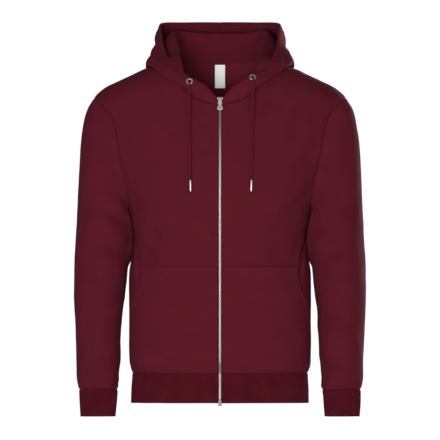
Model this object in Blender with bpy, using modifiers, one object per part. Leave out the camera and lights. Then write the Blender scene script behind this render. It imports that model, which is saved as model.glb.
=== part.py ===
"""Zip-up hoodie in brushed fleece, filled out as worn, with nobody in it.

Units are metres and +Z is up. The front faces -Y and +X is the wearer's left. The origin is the
middle of the neck hole at the height where the garment hangs from the shoulders.
"""

import math

import bmesh
import bpy
import numpy as np
from mathutils import Matrix, Vector

# Cloth and seams
FLEECE = 0.0020
RIB = 0.0025
SEAM_GAP = 0.0003
POCKET_LIP = 0.0030

# Heights of the main seams
HEM_Z = -0.699
BAND_SEAM_Z = -0.636
POCKET_TOP_Z = -0.4137
UNDERARM_Z = -0.300
SHOULDER_TIP_Z = -0.0588
NECK_SIDE_Z = 0.0280

# Neck hole: half its width, how far it drops in front and behind, and how square the curve is
NECK_HALF_WIDTH = 0.0930
NECK_DROP_FRONT = 0.0994
NECK_DROP_BACK = 0.0112
NECK_POWER = 2.3

# Armhole: half its depth in front of and behind the shoulder seam, and how square the oval is
ARMHOLE_FRONT = 0.062
ARMHOLE_BACK = 0.066
ARMHOLE_POWER = 2.5

# Body sections: height, half width, depth in front, depth behind, squareness
TORSO = (
    (-0.6990, 0.1870, 0.1135, 0.0985, 2.50),
    (-0.6680, 0.1862, 0.1140, 0.0990, 2.50),
    (-0.6360, 0.1848, 0.1130, 0.0980, 2.50),
    (-0.6150, 0.1896, 0.1185, 0.1040, 2.50),
    (-0.5900, 0.1908, 0.1208, 0.1065, 2.50),
    (-0.5400, 0.1910, 0.1230, 0.1090, 2.45),
    (-0.4600, 0.1908, 0.1275, 0.1130, 2.40),
    (-0.4150, 0.1895, 0.1300, 0.1150, 2.35),
    (-0.3850, 0.1835, 0.1315, 0.1160, 2.30),
    (-0.3550, 0.1815, 0.1325, 0.1175, 2.30),
    (-0.3230, 0.1860, 0.1335, 0.1190, 2.30),
    (-0.2950, 0.1925, 0.1345, 0.1205, 2.30),
    (-0.2480, 0.2080, 0.1345, 0.1235, 2.30),
    (-0.2040, 0.2250, 0.1315, 0.1255, 2.25),
    (-0.1450, 0.2430, 0.1240, 0.1260, 2.15),
    (-0.1000, 0.2535, 0.1140, 0.1220, 2.10),
    (-0.0588, 0.2646, 0.1020, 0.1120, 2.00),
    (-0.0470, 0.2540, 0.0990, 0.1085, 2.00),
    (-0.0357, 0.2390, 0.0960, 0.1050, 2.00),
    (-0.0200, 0.2060, 0.0915, 0.0985, 2.00),
    (0.0020, 0.1580, 0.0850, 0.0870, 2.00),
    (0.0280, 0.0930, 0.0720, 0.0700, 2.00),
    (0.0340, 0.0780, 0.0690, 0.0660, 2.00),
)

# Heights of the rows of the panels, from the waistband seam to the underarm
PANEL_ROWS = (
    BAND_SEAM_Z, -0.615, -0.588, -0.545, -0.504, -0.460, POCKET_TOP_Z, -0.375, -0.338, UNDERARM_Z
)
BAND_ROWS = (HEM_Z, -0.668, BAND_SEAM_Z)
PANEL_COLUMNS = 10
ARMHOLE_STEPS = 10
ZIP_STEPS = 4  # of the armhole steps, those below the front neck point
SPINE_STEPS = 5  # of the armhole steps, those below the back neck point

# Sleeve sections below the armhole: under side x and z, outer side x and z, half depth, middle y
SLEEVE = (
    (0.1895, -0.313, 0.2780, -0.082, 0.063, 0.000),
    (0.1860, -0.326, 0.2862, -0.110, 0.065, 0.000),
    (0.1835, -0.340, 0.2925, -0.152, 0.067, 0.000),
    (0.1825, -0.356, 0.2965, -0.215, 0.070, 0.001),
    (0.1830, -0.372, 0.3000, -0.285, 0.073, 0.002),
    (0.1870, -0.390, 0.3025, -0.345, 0.075, 0.002),
    (0.1925, -0.410, 0.3055, -0.395, 0.076, 0.001),
    (0.1965, -0.450, 0.3068, -0.446, 0.074, 0.000),
    (0.2030, -0.500, 0.3060, -0.498, 0.068, -0.002),
    (0.2070, -0.560, 0.3035, -0.560, 0.062, -0.006),
    (0.2105, -0.615, 0.3012, -0.615, 0.055, -0.012),
    (0.2122, -0.648, 0.3005, -0.648, 0.048, -0.016),
    (0.2133, -0.670, 0.2965, -0.670, 0.036, -0.019),
)
SLEEVE_CLEARANCE = 0.0015
HOOD_CLEARANCE = 0.0045
HOOD_FLAT_AT_ZIP = 0.10  # of half the neck seam, over which the hood lies close to the chest
CLEARING_STEPS = 6
SLEEVE_SHAPE_ROWS = 5  # rows over which the armhole's shape turns into a plain oval

# Cuff sections: inner x, outer x, height, half depth, middle y
CUFF = (
    (0.2138, 0.2958, -0.6700, 0.0350, -0.0190),
    (0.2150, 0.2955, -0.6780, 0.0325, -0.0192),
    (0.2175, 0.2945, -0.7040, 0.0310, -0.0205),
    (0.2190, 0.2935, -0.7275, 0.0300, -0.0215),
)

# Hood sections from the zip round to the middle of the back: place along half the neck seam, then
# the points the cloth passes: the roll over the neck seam, the wall against the body, the lowest
# fold, the outer belly and the rim
HOOD = (
    (0.00, (0.0060, -0.1053, -0.0685), (0.0074, -0.1047, -0.0660), (0.0078, -0.1040, -0.0630),
     (0.0078, -0.1032, -0.0600), (0.0078, -0.1024, -0.0570)),
    (0.13, (0.0410, -0.1045, -0.0625), (0.0405, -0.1080, -0.0570), (0.0395, -0.1105, -0.0500),
     (0.0375, -0.1110, -0.0410), (0.0340, -0.1085, -0.0320)),
    (0.23, (0.0635, -0.0990, -0.0505), (0.0665, -0.1065, -0.0455), (0.0685, -0.1100, -0.0375),
     (0.0675, -0.1085, -0.0255), (0.0655, -0.1020, -0.0140)),
    (0.36, (0.0815, -0.0740, -0.0180), (0.0970, -0.0840, -0.0195), (0.1090, -0.0870, -0.0165),
     (0.1070, -0.0810, -0.0030), (0.0930, -0.0700, 0.0080)),
    (0.55, (0.0900, -0.0120, 0.0390), (0.1320, -0.0050, 0.0160), (0.1560, 0.0020, 0.0100),
     (0.1462, 0.0000, 0.0350), (0.1185, -0.0150, 0.0450)),
    (0.68, (0.0850, 0.0450, 0.0420), (0.1240, 0.0720, -0.0060), (0.1450, 0.0920, -0.0240),
     (0.1450, 0.0760, 0.0360), (0.1280, 0.0320, 0.0860)),
    (0.77, (0.0720, 0.0680, 0.0410), (0.1000, 0.1050, -0.0220), (0.1180, 0.1290, -0.0620),
     (0.1370, 0.1080, 0.0380), (0.1245, 0.0620, 0.0985)),
    (0.88, (0.0400, 0.0860, 0.0400), (0.0550, 0.1130, -0.0280), (0.0660, 0.1430, -0.1040),
     (0.0800, 0.1520, 0.0000), (0.0720, 0.0820, 0.1005)),
    (1.00, (0.0000, 0.0940, 0.0400), (0.0000, 0.1140, -0.0300), (0.0000, 0.1440, -0.1220),
     (0.0000, 0.1660, -0.0150), (0.0000, 0.0900, 0.1008)),
)
HOOD_PLACES = (0.00, 0.08, 0.28, 0.52, 0.77, 1.00)  # of the neck seam, roll, wall, fold, belly, rim
HOOD_ROWS = (0.0, 0.05, 0.11, 0.20, 0.31, 0.42, 0.48, 0.52, 0.56, 0.63, 0.72, 0.81, 0.91, 1.0)

# Pouch pocket: its slanted hand edge in the front view, from the top corner down, as x and z
POCKET_EDGE = ((0.160, -0.400), (0.160, -0.418), (0.168, -0.460), (0.187, -0.504), (0.230, -0.506))
POCKET_COLUMNS = 9  # of the panel's columns, those under the pocket
POCKET_ZIP_MARGIN = 0.002

# Zip: everything is measured from the cloth's outer face, inwards
ZIP_EDGE = 0.0039  # the front edges stop this far from the middle
CHAIN_HALF_WIDTH = 0.0028
CHAIN_FACE = -0.0004
CHAIN_BACK = 0.0020
TAPE_FACE = 0.0029
TAPE_BACK = 0.0036
TAPE_REACH = (0.0003, 0.0140)
ZIP_TOP_RISE = 0.0108  # the tapes and chain run this far above the neck seam
SLIDER_LENGTH = 0.0160
SLIDER_TOP_HALF_WIDTH = 0.0068
SLIDER_HALF_WIDTH = 0.0045
SLIDER_PLATE = 0.0012
SLIDER_CLEARANCE = 0.0003
SLIDER_POST_LENGTH = 0.0030
SLIDER_TAIL_HALF_WIDTH = 0.0041
SLIDER_TOP_CORNER = 0.0061
SLIDER_SHOULDER, SLIDER_WAIST, SLIDER_TAIL = 0.0064, 0.0028, -0.0064  # heights where its width changes
BRIDGE_WIDTH = 0.0022
BRIDGE_WALL = 0.0009
BRIDGE_HOLE = (0.0024, 0.0028)  # depth and height of the hole the tab's bar turns in
PULL_THICKNESS = 0.0012
PULL_LENGTH = 0.0240
PULL_WINDOW = (0.0036, 0.0038)
PULL_SIDE = ((0.0036, -0.0050), (0.0030, -0.0095), (0.0038, -0.0150), (0.0060, -0.0185))
PULL_TOP_HALF_WIDTH = 0.0034
PULL_END_HALF_WIDTH, PULL_END_START = 0.0060, -0.0200  # the round end begins here
PULL_HOLE, PULL_HOLE_MIDDLE = (0.0030, 0.0016), -0.0197
BOX_SIZE = (0.0070, 0.0046, 0.0125)
BOX_EDGE = 0.0006
BOX_DROP = 0.0052  # the box hangs this far below the hem

# Neck tape and label
TAPE_WIDTH = 0.0046
TAPE_CLEARANCE = 0.0004  # more room where the back curves towards the tape
TAPE_DROP = 0.0006  # its top edge lies this far below the seam
TAPE_THICKNESS = 0.0010
NECK_TAPE_POINTS = 9  # along half the back neck seam; the last two are left bare
LABEL_SIZE = (0.0210, 0.0008, 0.0490)
LABEL_LEAN = math.radians(8)

# Eyelets: outer radius, hole radius, height; places on the hood as x and z in the front view
EYELET_RADIUS = 0.0072
EYELET_HOLE = 0.0037
EYELET_HEIGHT = 0.0016
EYELET_STAND = 0.0008  # room between the ring and the cloth where it curves away
EYELETS = {"right": (-0.0640, -0.0250), "left": (0.0680, -0.0165)}

# Drawcord: its diameter and the points it passes after leaving the eyelet, as x, y and z
CORD_DIAMETER = 0.0050
CORD_STEP = 0.0110
CORD_EXIT = 0.0065
CORDS = {
    "right": (
        (-0.0642, -0.1192, -0.0262),
        (-0.0644, -0.1204, -0.0350),
        (-0.0643, -0.1190, -0.0500),
        (-0.0640, -0.1183, -0.0900),
        (-0.0636, -0.1200, -0.1200),
        (-0.0631, -0.1262, -0.1500),
        (-0.0626, -0.1320, -0.1900),
        (-0.0620, -0.1352, -0.2310),
    ),
    "left": (
        (0.0690, -0.1145, -0.0165),
        (0.0692, -0.1170, -0.0250),
        (0.0692, -0.1178, -0.0380),
        (0.0686, -0.1178, -0.0900),
        (0.0680, -0.1195, -0.1200),
        (0.0674, -0.1255, -0.1500),
        (0.0666, -0.1312, -0.1900),
        (0.0658, -0.1345, -0.2310),
    ),
}
TIP_LENGTH = 0.0240
TIP_RADIUS = 0.0024

COLOURS = {
    # base colour, roughness, metallic
    "fleece": ((0.098, 0.0085, 0.0185), 0.95, 0.0),
    "rib": ((0.078, 0.0065, 0.0140), 0.95, 0.0),
    "tape": ((0.085, 0.0075, 0.0160), 0.90, 0.0),
    "cord": ((0.090, 0.0080, 0.0170), 0.90, 0.0),
    "label": ((0.86, 0.86, 0.85), 0.80, 0.0),
    "nickel": ((0.62, 0.60, 0.58), 0.30, 1.0),
}
COLLECTION = "zip_up_hoodie"
CUTTERS = "cutters"


# ---------------------------------------------------------------- scene and small helpers


def clear_scene():
    """Remove whatever the file holds, and make the two collections."""
    for thing in list(bpy.data.objects):
        bpy.data.objects.remove(thing, do_unlink=True)
    for name in (COLLECTION, CUTTERS):
        bpy.context.scene.collection.children.link(bpy.data.collections.new(name))


def material(thing, finish):
    """Give an object a Principled material of its own."""
    colour, roughness, metallic = COLOURS[finish]
    new = bpy.data.materials.new(thing.name + "_" + finish)
    new.use_nodes = True
    shader = new.node_tree.nodes["Principled BSDF"]
    shader.inputs["Base Color"].default_value = (*colour, 1.0)
    shader.inputs["Roughness"].default_value = roughness
    shader.inputs["Metallic"].default_value = metallic
    thing.data.materials.clear()
    thing.data.materials.append(new)


def keep(thing, finish=None):
    """Move an object into the part's collection, or into the cutters' where it has no finish."""
    for owner in list(thing.users_collection):
        owner.objects.unlink(thing)
    if finish is None:
        bpy.data.collections[CUTTERS].objects.link(thing)
        thing.hide_render = True
        thing.display_type = "WIRE"
        return thing
    bpy.data.collections[COLLECTION].objects.link(thing)
    material(thing, finish)
    return thing


def mesh_object(name, points, faces):
    """A mesh object from points and faces, with its faces turned outward."""
    mesh = bpy.data.meshes.new(name)
    mesh.from_pydata([tuple(p) for p in points], [], [tuple(f) for f in faces])
    work = bmesh.new()
    work.from_mesh(mesh)
    bmesh.ops.recalc_face_normals(work, faces=work.faces)
    work.to_mesh(mesh)
    work.free()
    mesh.shade_smooth()
    mesh.set_sharp_from_angle(angle=math.radians(35))
    thing = bpy.data.objects.new(name, mesh)
    bpy.context.scene.collection.objects.link(thing)
    return thing


def curve_through(stations, values, places):
    """Read a smooth curve through a table: a cubic piece between rows, slopes from the neighbours."""
    stations = np.asarray(stations, float)
    values = np.asarray(values, float)
    slopes = np.gradient(values, stations, axis=0)
    places = np.clip(np.asarray(places, float), stations[0], stations[-1])
    row = np.clip(np.searchsorted(stations, places, side="right") - 1, 0, len(stations) - 2)
    span = stations[row + 1] - stations[row]
    f = (places - stations[row]) / span
    extra = (1,) * (values.ndim - 1)
    f = f.reshape(f.shape + extra)
    span = span.reshape(span.shape + extra)
    start = (2 * f**3 - 3 * f**2 + 1) * values[row] + (f**3 - 2 * f**2 + f) * span * slopes[row]
    end = (3 * f**2 - 2 * f**3) * values[row + 1] + (f**3 - f**2) * span * slopes[row + 1]
    return start + end


def unit(vectors):
    """The same vectors at length one."""
    return vectors / np.linalg.norm(vectors, axis=-1, keepdims=True)


def by_length(points, count):
    """Points at equal steps of length along a finely drawn line."""
    steps = np.linalg.norm(np.diff(points, axis=0), axis=1)
    along = np.concatenate(([0.0], np.cumsum(steps)))
    wanted = np.linspace(0.0, along[-1], count)
    return np.stack([np.interp(wanted, along, points[:, axis]) for axis in range(3)], axis=1)


# ---------------------------------------------------------------- the body's form


def torso(z):
    """Half width, depth in front, depth behind and squareness of the body's section at a height."""
    table = np.array(TORSO)
    return np.moveaxis(curve_through(table[:, 0], table[:, 1:], z), -1, 0)


def lift(x, z, side):
    """Points of the body's outer face over a place in the front view; side is -1 front, 1 back."""
    width, front, back, power = torso(z)
    depth = front if side < 0 else back
    inside = np.clip(1.0 - np.clip(np.abs(x) / width, 0.0, 1.0) ** power, 0.0, 1.0)
    return np.stack([x, side * depth * inside ** (1.0 / power), z], axis=-1)


def torso_level(points):
    """How far out points lie in the body's form (0 on it), and the direction that grows fastest."""
    x, y, z = np.moveaxis(points, -1, 0)
    step = 0.001
    width, front, back, power = torso(z)
    depth = np.where(y < 0, front, back)
    above, below = torso(z + step), torso(z - step)
    width_slope = (above[0] - below[0]) / (2 * step)
    depth_slope = np.where(y < 0, above[1] - below[1], above[2] - below[2]) / (2 * step)
    across = (np.abs(x) / width) ** (power - 1)
    through = (np.abs(y) / depth) ** (power - 1)
    level = across * np.abs(x) / width + through * np.abs(y) / depth - 1
    up = -across * np.abs(x) / width**2 * width_slope - through * np.abs(y) / depth**2 * depth_slope
    growth = np.stack([np.sign(x) * across / width, np.sign(y) * through / depth, up], axis=-1)
    return level, growth * power[..., None]


def torso_normals(points):
    """Outward directions of the body's form, the same for both panels where they meet."""
    return unit(torso_level(points)[1])


def clear_of_body(points, clearance):
    """Points moved straight out of the body's form until they stand off it by the clearance."""
    for _ in range(CLEARING_STEPS):
        level, growth = torso_level(points)
        steepness = np.linalg.norm(growth, axis=-1)
        short = np.maximum(clearance - level / steepness, 0.0)
        points = points + growth * (short / steepness)[..., None]
    return points


def neckline(side, count):
    """The neck seam of one panel, from its middle to the high point of the shoulder."""
    drop = NECK_DROP_FRONT if side < 0 else NECK_DROP_BACK
    start = ZIP_EDGE if side < 0 else 0.0
    first = math.asin((start / NECK_HALF_WIDTH) ** (NECK_POWER / 2))
    turn = np.linspace(first, math.pi / 2, 400)
    x = NECK_HALF_WIDTH * np.sin(turn) ** (2 / NECK_POWER)
    z = NECK_SIDE_Z - drop * np.clip(np.cos(turn), 0.0, 1.0) ** (2 / NECK_POWER)
    line = lift(x, z, side)
    line[-1] = (NECK_HALF_WIDTH, 0.0, NECK_SIDE_Z)
    return by_length(line, count)


def armhole(side, turn):
    """The armhole seam, from the underarm (turn pi) to the shoulder tip (turn 0)."""
    middle = (UNDERARM_Z + SHOULDER_TIP_Z) / 2
    half = (SHOULDER_TIP_Z - UNDERARM_Z) / 2
    reach = ARMHOLE_FRONT if side < 0 else ARMHOLE_BACK
    z = middle + half * np.cos(turn)
    bow = np.clip(1.0 - np.abs(np.cos(turn)) ** ARMHOLE_POWER, 0.0, 1.0)
    y = side * reach * bow ** (1.0 / ARMHOLE_POWER)
    width, front, back, power = torso(z)
    depth = front if side < 0 else back
    x = width * (1.0 - (np.abs(y) / depth) ** power) ** (1.0 / power)
    return np.stack([x, y, z], axis=-1)


def shoulder_line():
    """The shoulder seam's height over each x, as two lists for interpolation."""
    z = np.linspace(NECK_SIDE_Z, SHOULDER_TIP_Z, 200)
    return torso(z)[0], z


def half_panel(side):
    """The outer face of half a body panel, rows from the waistband up, columns from the middle out."""
    spread = np.sin(np.linspace(0.0, math.pi / 2, PANEL_COLUMNS + 1))
    start = ZIP_EDGE if side < 0 else 0.0
    rows = []
    for z in PANEL_ROWS:
        width = float(torso(np.array([z]))[0][0])
        row = lift(start + (width - start) * spread, np.full(len(spread), z), side)
        row[-1] = (width, 0.0, z)
        rows.append(row)
    low_steps = ZIP_STEPS if side < 0 else SPINE_STEPS
    seam = neckline(side, ARMHOLE_STEPS - low_steps + 1)
    climb = np.linspace(UNDERARM_Z, seam[0, 2], low_steps + 1)
    middle = np.concatenate([np.stack([np.full(low_steps, start), climb[:-1]], axis=1), seam[:, [0, 2]]])
    turn = math.pi * (1 - np.arange(ARMHOLE_STEPS + 1) / ARMHOLE_STEPS)
    edge = armhole(side, turn)
    seam_x, seam_z = shoulder_line()
    shoulder_x = NECK_HALF_WIDTH + (edge[-1, 0] - NECK_HALF_WIDTH) * spread
    ridge = np.interp(shoulder_x, seam_x, seam_z)
    bow = ridge - (NECK_SIDE_Z + (SHOULDER_TIP_Z - NECK_SIDE_Z) * spread)
    for step in range(1, ARMHOLE_STEPS + 1):
        x = middle[step, 0] + (edge[step, 0] - middle[step, 0]) * spread
        weight = (1 + math.cos(turn[step])) / 2
        z = middle[step, 1] + (edge[step, 2] - middle[step, 1]) * spread + weight * bow
        row = lift(x, z, side)
        row[-1] = edge[step]
        if step >= low_steps:
            row[0] = seam[step - low_steps]
        if step == ARMHOLE_STEPS:
            row[:, 1] = 0.0
        rows.append(row)
    return np.array(rows)


# ---------------------------------------------------------------- cloth walls


def trimmed(grid, edges, gap=SEAM_GAP / 2):
    """The same face with some of its edges ("first row", "last row", "last column") drawn back."""
    grid = grid.copy()
    if "first row" in edges:
        grid[0] += unit(grid[1] - grid[0]) * gap
    if "last row" in edges:
        grid[-1] += unit(grid[-2] - grid[-1]) * gap
    if "first column" in edges:
        grid[:, 0] += unit(grid[:, 1] - grid[:, 0]) * gap
    if "last column" in edges:
        grid[:, -1] += unit(grid[:, -2] - grid[:, -1]) * gap
    return grid


def face_normals(grid, around=False):
    """Directions square to a grid of points, from the steps to its neighbours."""
    if around:
        across = np.roll(grid, -1, axis=1) - np.roll(grid, 1, axis=1)
    else:
        across = np.gradient(grid, axis=1)
    down = np.gradient(grid, axis=0)
    return unit(np.cross(across, down))


def wall(name, outer, inner, finish, around=False, open_rows=()):
    """A cloth wall between two grids of points: both skins, and a strip along every edge.

    around joins the last column to the first, as on a sleeve. open_rows are the cells of the first
    column that stay open at x = 0, where the wall meets its own mirror image.
    """
    rows, columns = outer.shape[:2]
    index = np.arange(rows * columns).reshape(rows, columns)
    behind = index + rows * columns
    faces = []
    across = columns if around else columns - 1
    for i in range(rows - 1):
        for j in range(across):
            k = (j + 1) % columns
            for skin in (index, behind):
                a, b, c, d = skin[i, j], skin[i, k], skin[i + 1, k], skin[i + 1, j]
                faces += [(a, b, c), (a, c, d)]

    def strip(first, second):
        faces.append((index[first], index[second], behind[second]))
        faces.append((index[first], behind[second], behind[first]))

    for j in range(across):
        k = (j + 1) % columns
        strip((0, j), (0, k))
        strip((rows - 1, j), (rows - 1, k))
    if not around:
        for i in range(rows - 1):
            if i not in open_rows:
                strip((i, 0), (i + 1, 0))
            strip((i, columns - 1), (i + 1, columns - 1))
    points = np.concatenate([outer.reshape(-1, 3), inner.reshape(-1, 3)])
    return keep(mesh_object(name, points, faces), finish)


def mirrored(grid):
    """The same grid on the other side of the body."""
    return grid * np.array([-1.0, 1.0, 1.0])


def mirror_over_middle(thing):
    """Join a half that is open at x = 0 to its mirror image."""
    modifier = thing.modifiers.new("other half", "MIRROR")
    modifier.use_axis = (True, False, False)
    modifier.use_clip = True
    modifier.merge_threshold = 0.00001


def both_sides(builder):
    """Run a builder for the wearer's right (-X) and left (+X)."""
    for side_name, turn in (("right", mirrored), ("left", lambda grid: grid)):
        builder(side_name, turn)


def make_fronts():
    grid = trimmed(half_panel(-1), ("first row", "last row", "last column"))
    inner = grid - torso_normals(grid) * FLEECE
    both_sides(lambda name, turn: wall("front_" + name, turn(grid), turn(inner), "fleece"))


def make_back():
    grid = trimmed(half_panel(1), ("first row", "last row", "last column"))
    normals = torso_normals(grid)
    spine_rows = len(PANEL_ROWS) - 1 + SPINE_STEPS
    normals[: spine_rows + 1, 0, 0] = 0.0
    inner = grid - unit(normals) * FLEECE
    back = wall("back", grid, inner, "fleece", open_rows=range(spine_rows))
    mirror_over_middle(back)


def band_face():
    """The outer face of half the waistband, from the zip round to the middle of the back."""
    spread = np.sin(np.linspace(0.0, math.pi / 2, PANEL_COLUMNS + 1))
    rows = []
    for z in BAND_ROWS:
        width = float(torso(np.array([z]))[0][0])
        heights = np.full(len(spread), z)
        front = lift(ZIP_EDGE + (width - ZIP_EDGE) * spread, heights, -1)
        back = lift(width * spread, heights, 1)
        front[-1] = (width, 0.0, z)
        rows.append(np.concatenate([front, back[::-1][1:]]))
    return np.array(rows)


def make_waistband():
    grid = trimmed(band_face(), ("last row",))
    normals = torso_normals(grid)
    normals[:, -1, 0] = 0.0
    inner = grid - unit(normals) * RIB
    grid, inner = grid[:, ::-1], inner[:, ::-1]
    band = wall("waistband", grid, inner, "rib", open_rows=range(len(BAND_ROWS) - 1))
    mirror_over_middle(band)


def beside_body(points, clearance):
    """Points moved out along X where they would lie inside the body's side."""
    x, y, z = np.moveaxis(points, -1, 0)
    width, front, back, power = torso(z)
    depth = np.where(y < 0, front, back)
    body = width * np.clip(1.0 - (np.abs(y) / depth) ** power, 0.0, 1.0) ** (1.0 / power)
    moved = points.copy()
    moved[..., 0] = np.maximum(x, body + clearance)
    return moved


def sleeve_face():
    """The outer face of the left sleeve: a row per section, columns round from the underarm."""
    count = 2 * ARMHOLE_STEPS
    round_turn = 2 * math.pi * np.arange(count) / count
    loop = np.concatenate(
        [
            armhole(-1, math.pi - round_turn[: ARMHOLE_STEPS + 1]),
            armhole(1, round_turn[ARMHOLE_STEPS + 1 :] - math.pi),
        ]
    )
    low, high = loop[0], loop[ARMHOLE_STEPS]
    chord = high - low
    off_chord = np.array([chord[2], 0.0, -chord[0]]) / np.linalg.norm(chord)
    share = (loop - low) @ chord / (chord @ chord)
    bulge = (loop - low) @ off_chord
    reach = loop[:, 1] / ARMHOLE_FRONT
    plain_share = (1 - np.cos(round_turn)) / 2
    plain_reach = -np.sin(round_turn)
    rows = [loop]
    for number, (in_x, in_z, out_x, out_z, half_depth, middle_y) in enumerate(SLEEVE, start=1):
        keep_shape = max(0.0, 1.0 - number / SLEEVE_SHAPE_ROWS) ** 2
        inner, outer = np.array([in_x, 0.0, in_z]), np.array([out_x, 0.0, out_z])
        out = unit(np.array([outer[2] - inner[2], 0.0, inner[0] - outer[0]]))
        along = plain_share + keep_shape * (share - plain_share)
        sideways = plain_reach + keep_shape * (reach - plain_reach)
        row = inner + along[:, None] * (outer - inner)
        row += (keep_shape * bulge)[:, None] * out
        row[:, 1] += middle_y + half_depth * sideways
        rows.append(beside_body(row, SLEEVE_CLEARANCE))
    return np.array(rows)


def make_sleeves():
    grid = sleeve_face()
    normals = -face_normals(grid, around=True)
    normals[0] = torso_normals(grid[0])
    grid = trimmed(grid, ("first row", "last row"))
    inner = grid - normals * FLEECE
    both_sides(lambda name, turn: wall("sleeve_" + name, turn(grid), turn(inner), "fleece", around=True))


def make_cuffs():
    count = 2 * ARMHOLE_STEPS
    turn = 2 * math.pi * np.arange(count) / count
    rows = []
    for in_x, out_x, z, half_depth, middle_y in CUFF:
        x = in_x + (out_x - in_x) * (1 - np.cos(turn)) / 2
        rows.append(np.stack([x, middle_y - half_depth * np.sin(turn), np.full(count, z)], axis=1))
    grid = np.array(rows)
    normals = -face_normals(grid, around=True)
    grid = trimmed(grid, ("first row",), SEAM_GAP)
    inner = grid - normals * RIB
    both_sides(lambda name, side: wall("cuff_" + name, side(grid), side(inner), "rib", around=True))


# ---------------------------------------------------------------- hood, neck and pockets


def neck_seam():
    """The whole neck seam of one side, from the zip over the shoulder to the middle of the back."""
    front = neckline(-1, ARMHOLE_STEPS - ZIP_STEPS + 1)
    back = neckline(1, ARMHOLE_STEPS - SPINE_STEPS + 1)
    return np.concatenate([front, back[::-1][1:]])


def hood_sheet(places, rows):
    """The hood's outer face: rows from the neck seam to the rim, at places along half the neck seam."""
    seam = neck_seam()
    steps = np.linalg.norm(np.diff(seam, axis=0), axis=1)
    along = np.concatenate(([0.0], np.cumsum(steps))) / steps.sum()
    start = np.stack([np.interp(places, along, seam[:, axis]) for axis in range(3)], axis=1)
    stations = [row[0] for row in HOOD]
    points = np.array([row[1:] for row in HOOD])
    stations = np.concatenate([stations, [2 - stations[-2]]])
    points = np.concatenate([points, [points[-2] * (-1.0, 1.0, 1.0)]])
    passes = curve_through(stations, points, places)
    control = np.concatenate([start[:, None], passes], axis=1).transpose(1, 0, 2)
    sheet = curve_through(HOOD_PLACES, control, rows)
    from_seam = np.clip(rows / HOOD_PLACES[1], 0.0, 1.0)
    from_zip = np.clip(places / HOOD_FLAT_AT_ZIP, 0.0, 1.0)
    return clear_of_body(sheet, HOOD_CLEARANCE * from_seam[:, None] * from_zip)


def make_hood():
    seam = neck_seam()
    steps = np.linalg.norm(np.diff(seam, axis=0), axis=1)
    places = np.concatenate(([0.0], np.cumsum(steps))) / steps.sum()
    closer = (places[2:7] + places[3:8]) / 2  # over the shoulder the hood bends most
    places = np.sort(np.concatenate([places, closer]))
    sheet = hood_sheet(places, np.array(HOOD_ROWS))
    normals = face_normals(sheet)
    normals[:, -1, 0] = 0.0
    normals = unit(normals)
    sheet = trimmed(sheet, ("first row",), SEAM_GAP)
    inner = sheet - normals * FLEECE
    for grid in (sheet, inner):
        grid[:, -1, 0] = SEAM_GAP / 2
    both_sides(lambda name, turn: wall("hood_" + name, turn(sheet), turn(inner), "fleece"))


def make_neck_tape():
    """A strip inside the back neck seam, from shoulder to shoulder."""
    seam = neckline(1, NECK_TAPE_POINTS)[:-2]
    inward = -seam * (1.0, 1.0, 0.0)
    inward = unit(inward)
    clear = FLEECE + SEAM_GAP + TAPE_CLEARANCE
    top = seam + inward * clear - (0.0, 0.0, TAPE_DROP)
    outer = np.array([top - (0.0, 0.0, TAPE_WIDTH), top])
    inner = outer + inward * TAPE_THICKNESS
    tape = wall("neck_tape", outer, inner, "tape", open_rows=(0,))
    mirror_over_middle(tape)


def make_label():
    """The bare label, hanging from the tape's lower edge against the inside of the back."""
    width, thickness, length = LABEL_SIZE
    neck = neckline(1, 2)[0]
    bpy.ops.mesh.primitive_cube_add(size=1)
    label = bpy.context.object
    label.name = label.data.name = "neck_label"
    label.data.transform(Matrix.Diagonal((width, thickness, length, 1)))
    label.data.transform(Matrix.Translation((0, 0, -length / 2)))
    y = neck[1] - FLEECE - SEAM_GAP - TAPE_CLEARANCE - TAPE_THICKNESS / 2
    label.location = (0, y, neck[2] - TAPE_DROP - TAPE_WIDTH - SEAM_GAP)
    label.rotation_euler = (LABEL_LEAN, 0, 0)
    keep(label, "label")


def pocket_cutter(side_name, sign):
    """A prism that takes away the cloth outside the pocket's slanted hand edge."""
    outline = [*POCKET_EDGE, (0.230, -0.400)]
    work = bmesh.new()
    corners = [work.verts.new((sign * x, -0.20, z)) for x, z in outline]
    face = work.faces.new(corners)
    pushed = bmesh.ops.extrude_face_region(work, geom=[face])["geom"]
    moved = [part for part in pushed if isinstance(part, bmesh.types.BMVert)]
    bmesh.ops.translate(work, verts=moved, vec=(0, 0.20, 0))
    bmesh.ops.recalc_face_normals(work, faces=work.faces)
    mesh = bpy.data.meshes.new("pocket_cutter_" + side_name)
    work.to_mesh(mesh)
    work.free()
    return keep(bpy.data.objects.new(mesh.name, mesh))


def make_pockets():
    """Pocket halves: the panel's own points moved out, standing off a little towards the hand edge."""
    panel = trimmed(half_panel(-1), ("first row",), SEAM_GAP)
    top = PANEL_ROWS.index(POCKET_TOP_Z)
    grid = panel[: top + 1, : POCKET_COLUMNS + 1]
    normals = torso_normals(grid)
    outward = np.linspace(0.0, 1.0, POCKET_COLUMNS + 1)[None, :] ** 3
    free = np.sin(np.linspace(0.0, math.pi, top + 1))[:, None] ** 0.7
    lift_off = SEAM_GAP + POCKET_LIP * outward * free
    inner = grid + normals * lift_off[..., None]
    inner = trimmed(inner, ("first column",), POCKET_ZIP_MARGIN)
    outer = inner + normals * FLEECE

    def build(name, turn):
        pocket = wall("pocket_" + name, turn(outer), turn(inner), "fleece")
        cut = pocket.modifiers.new("hand edge", "BOOLEAN")
        cut.operation = "DIFFERENCE"
        cut.solver = "EXACT"
        cut.object = pocket_cutter(name, -1 if name == "right" else 1)

    both_sides(build)


# ---------------------------------------------------------------- zip


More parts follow.
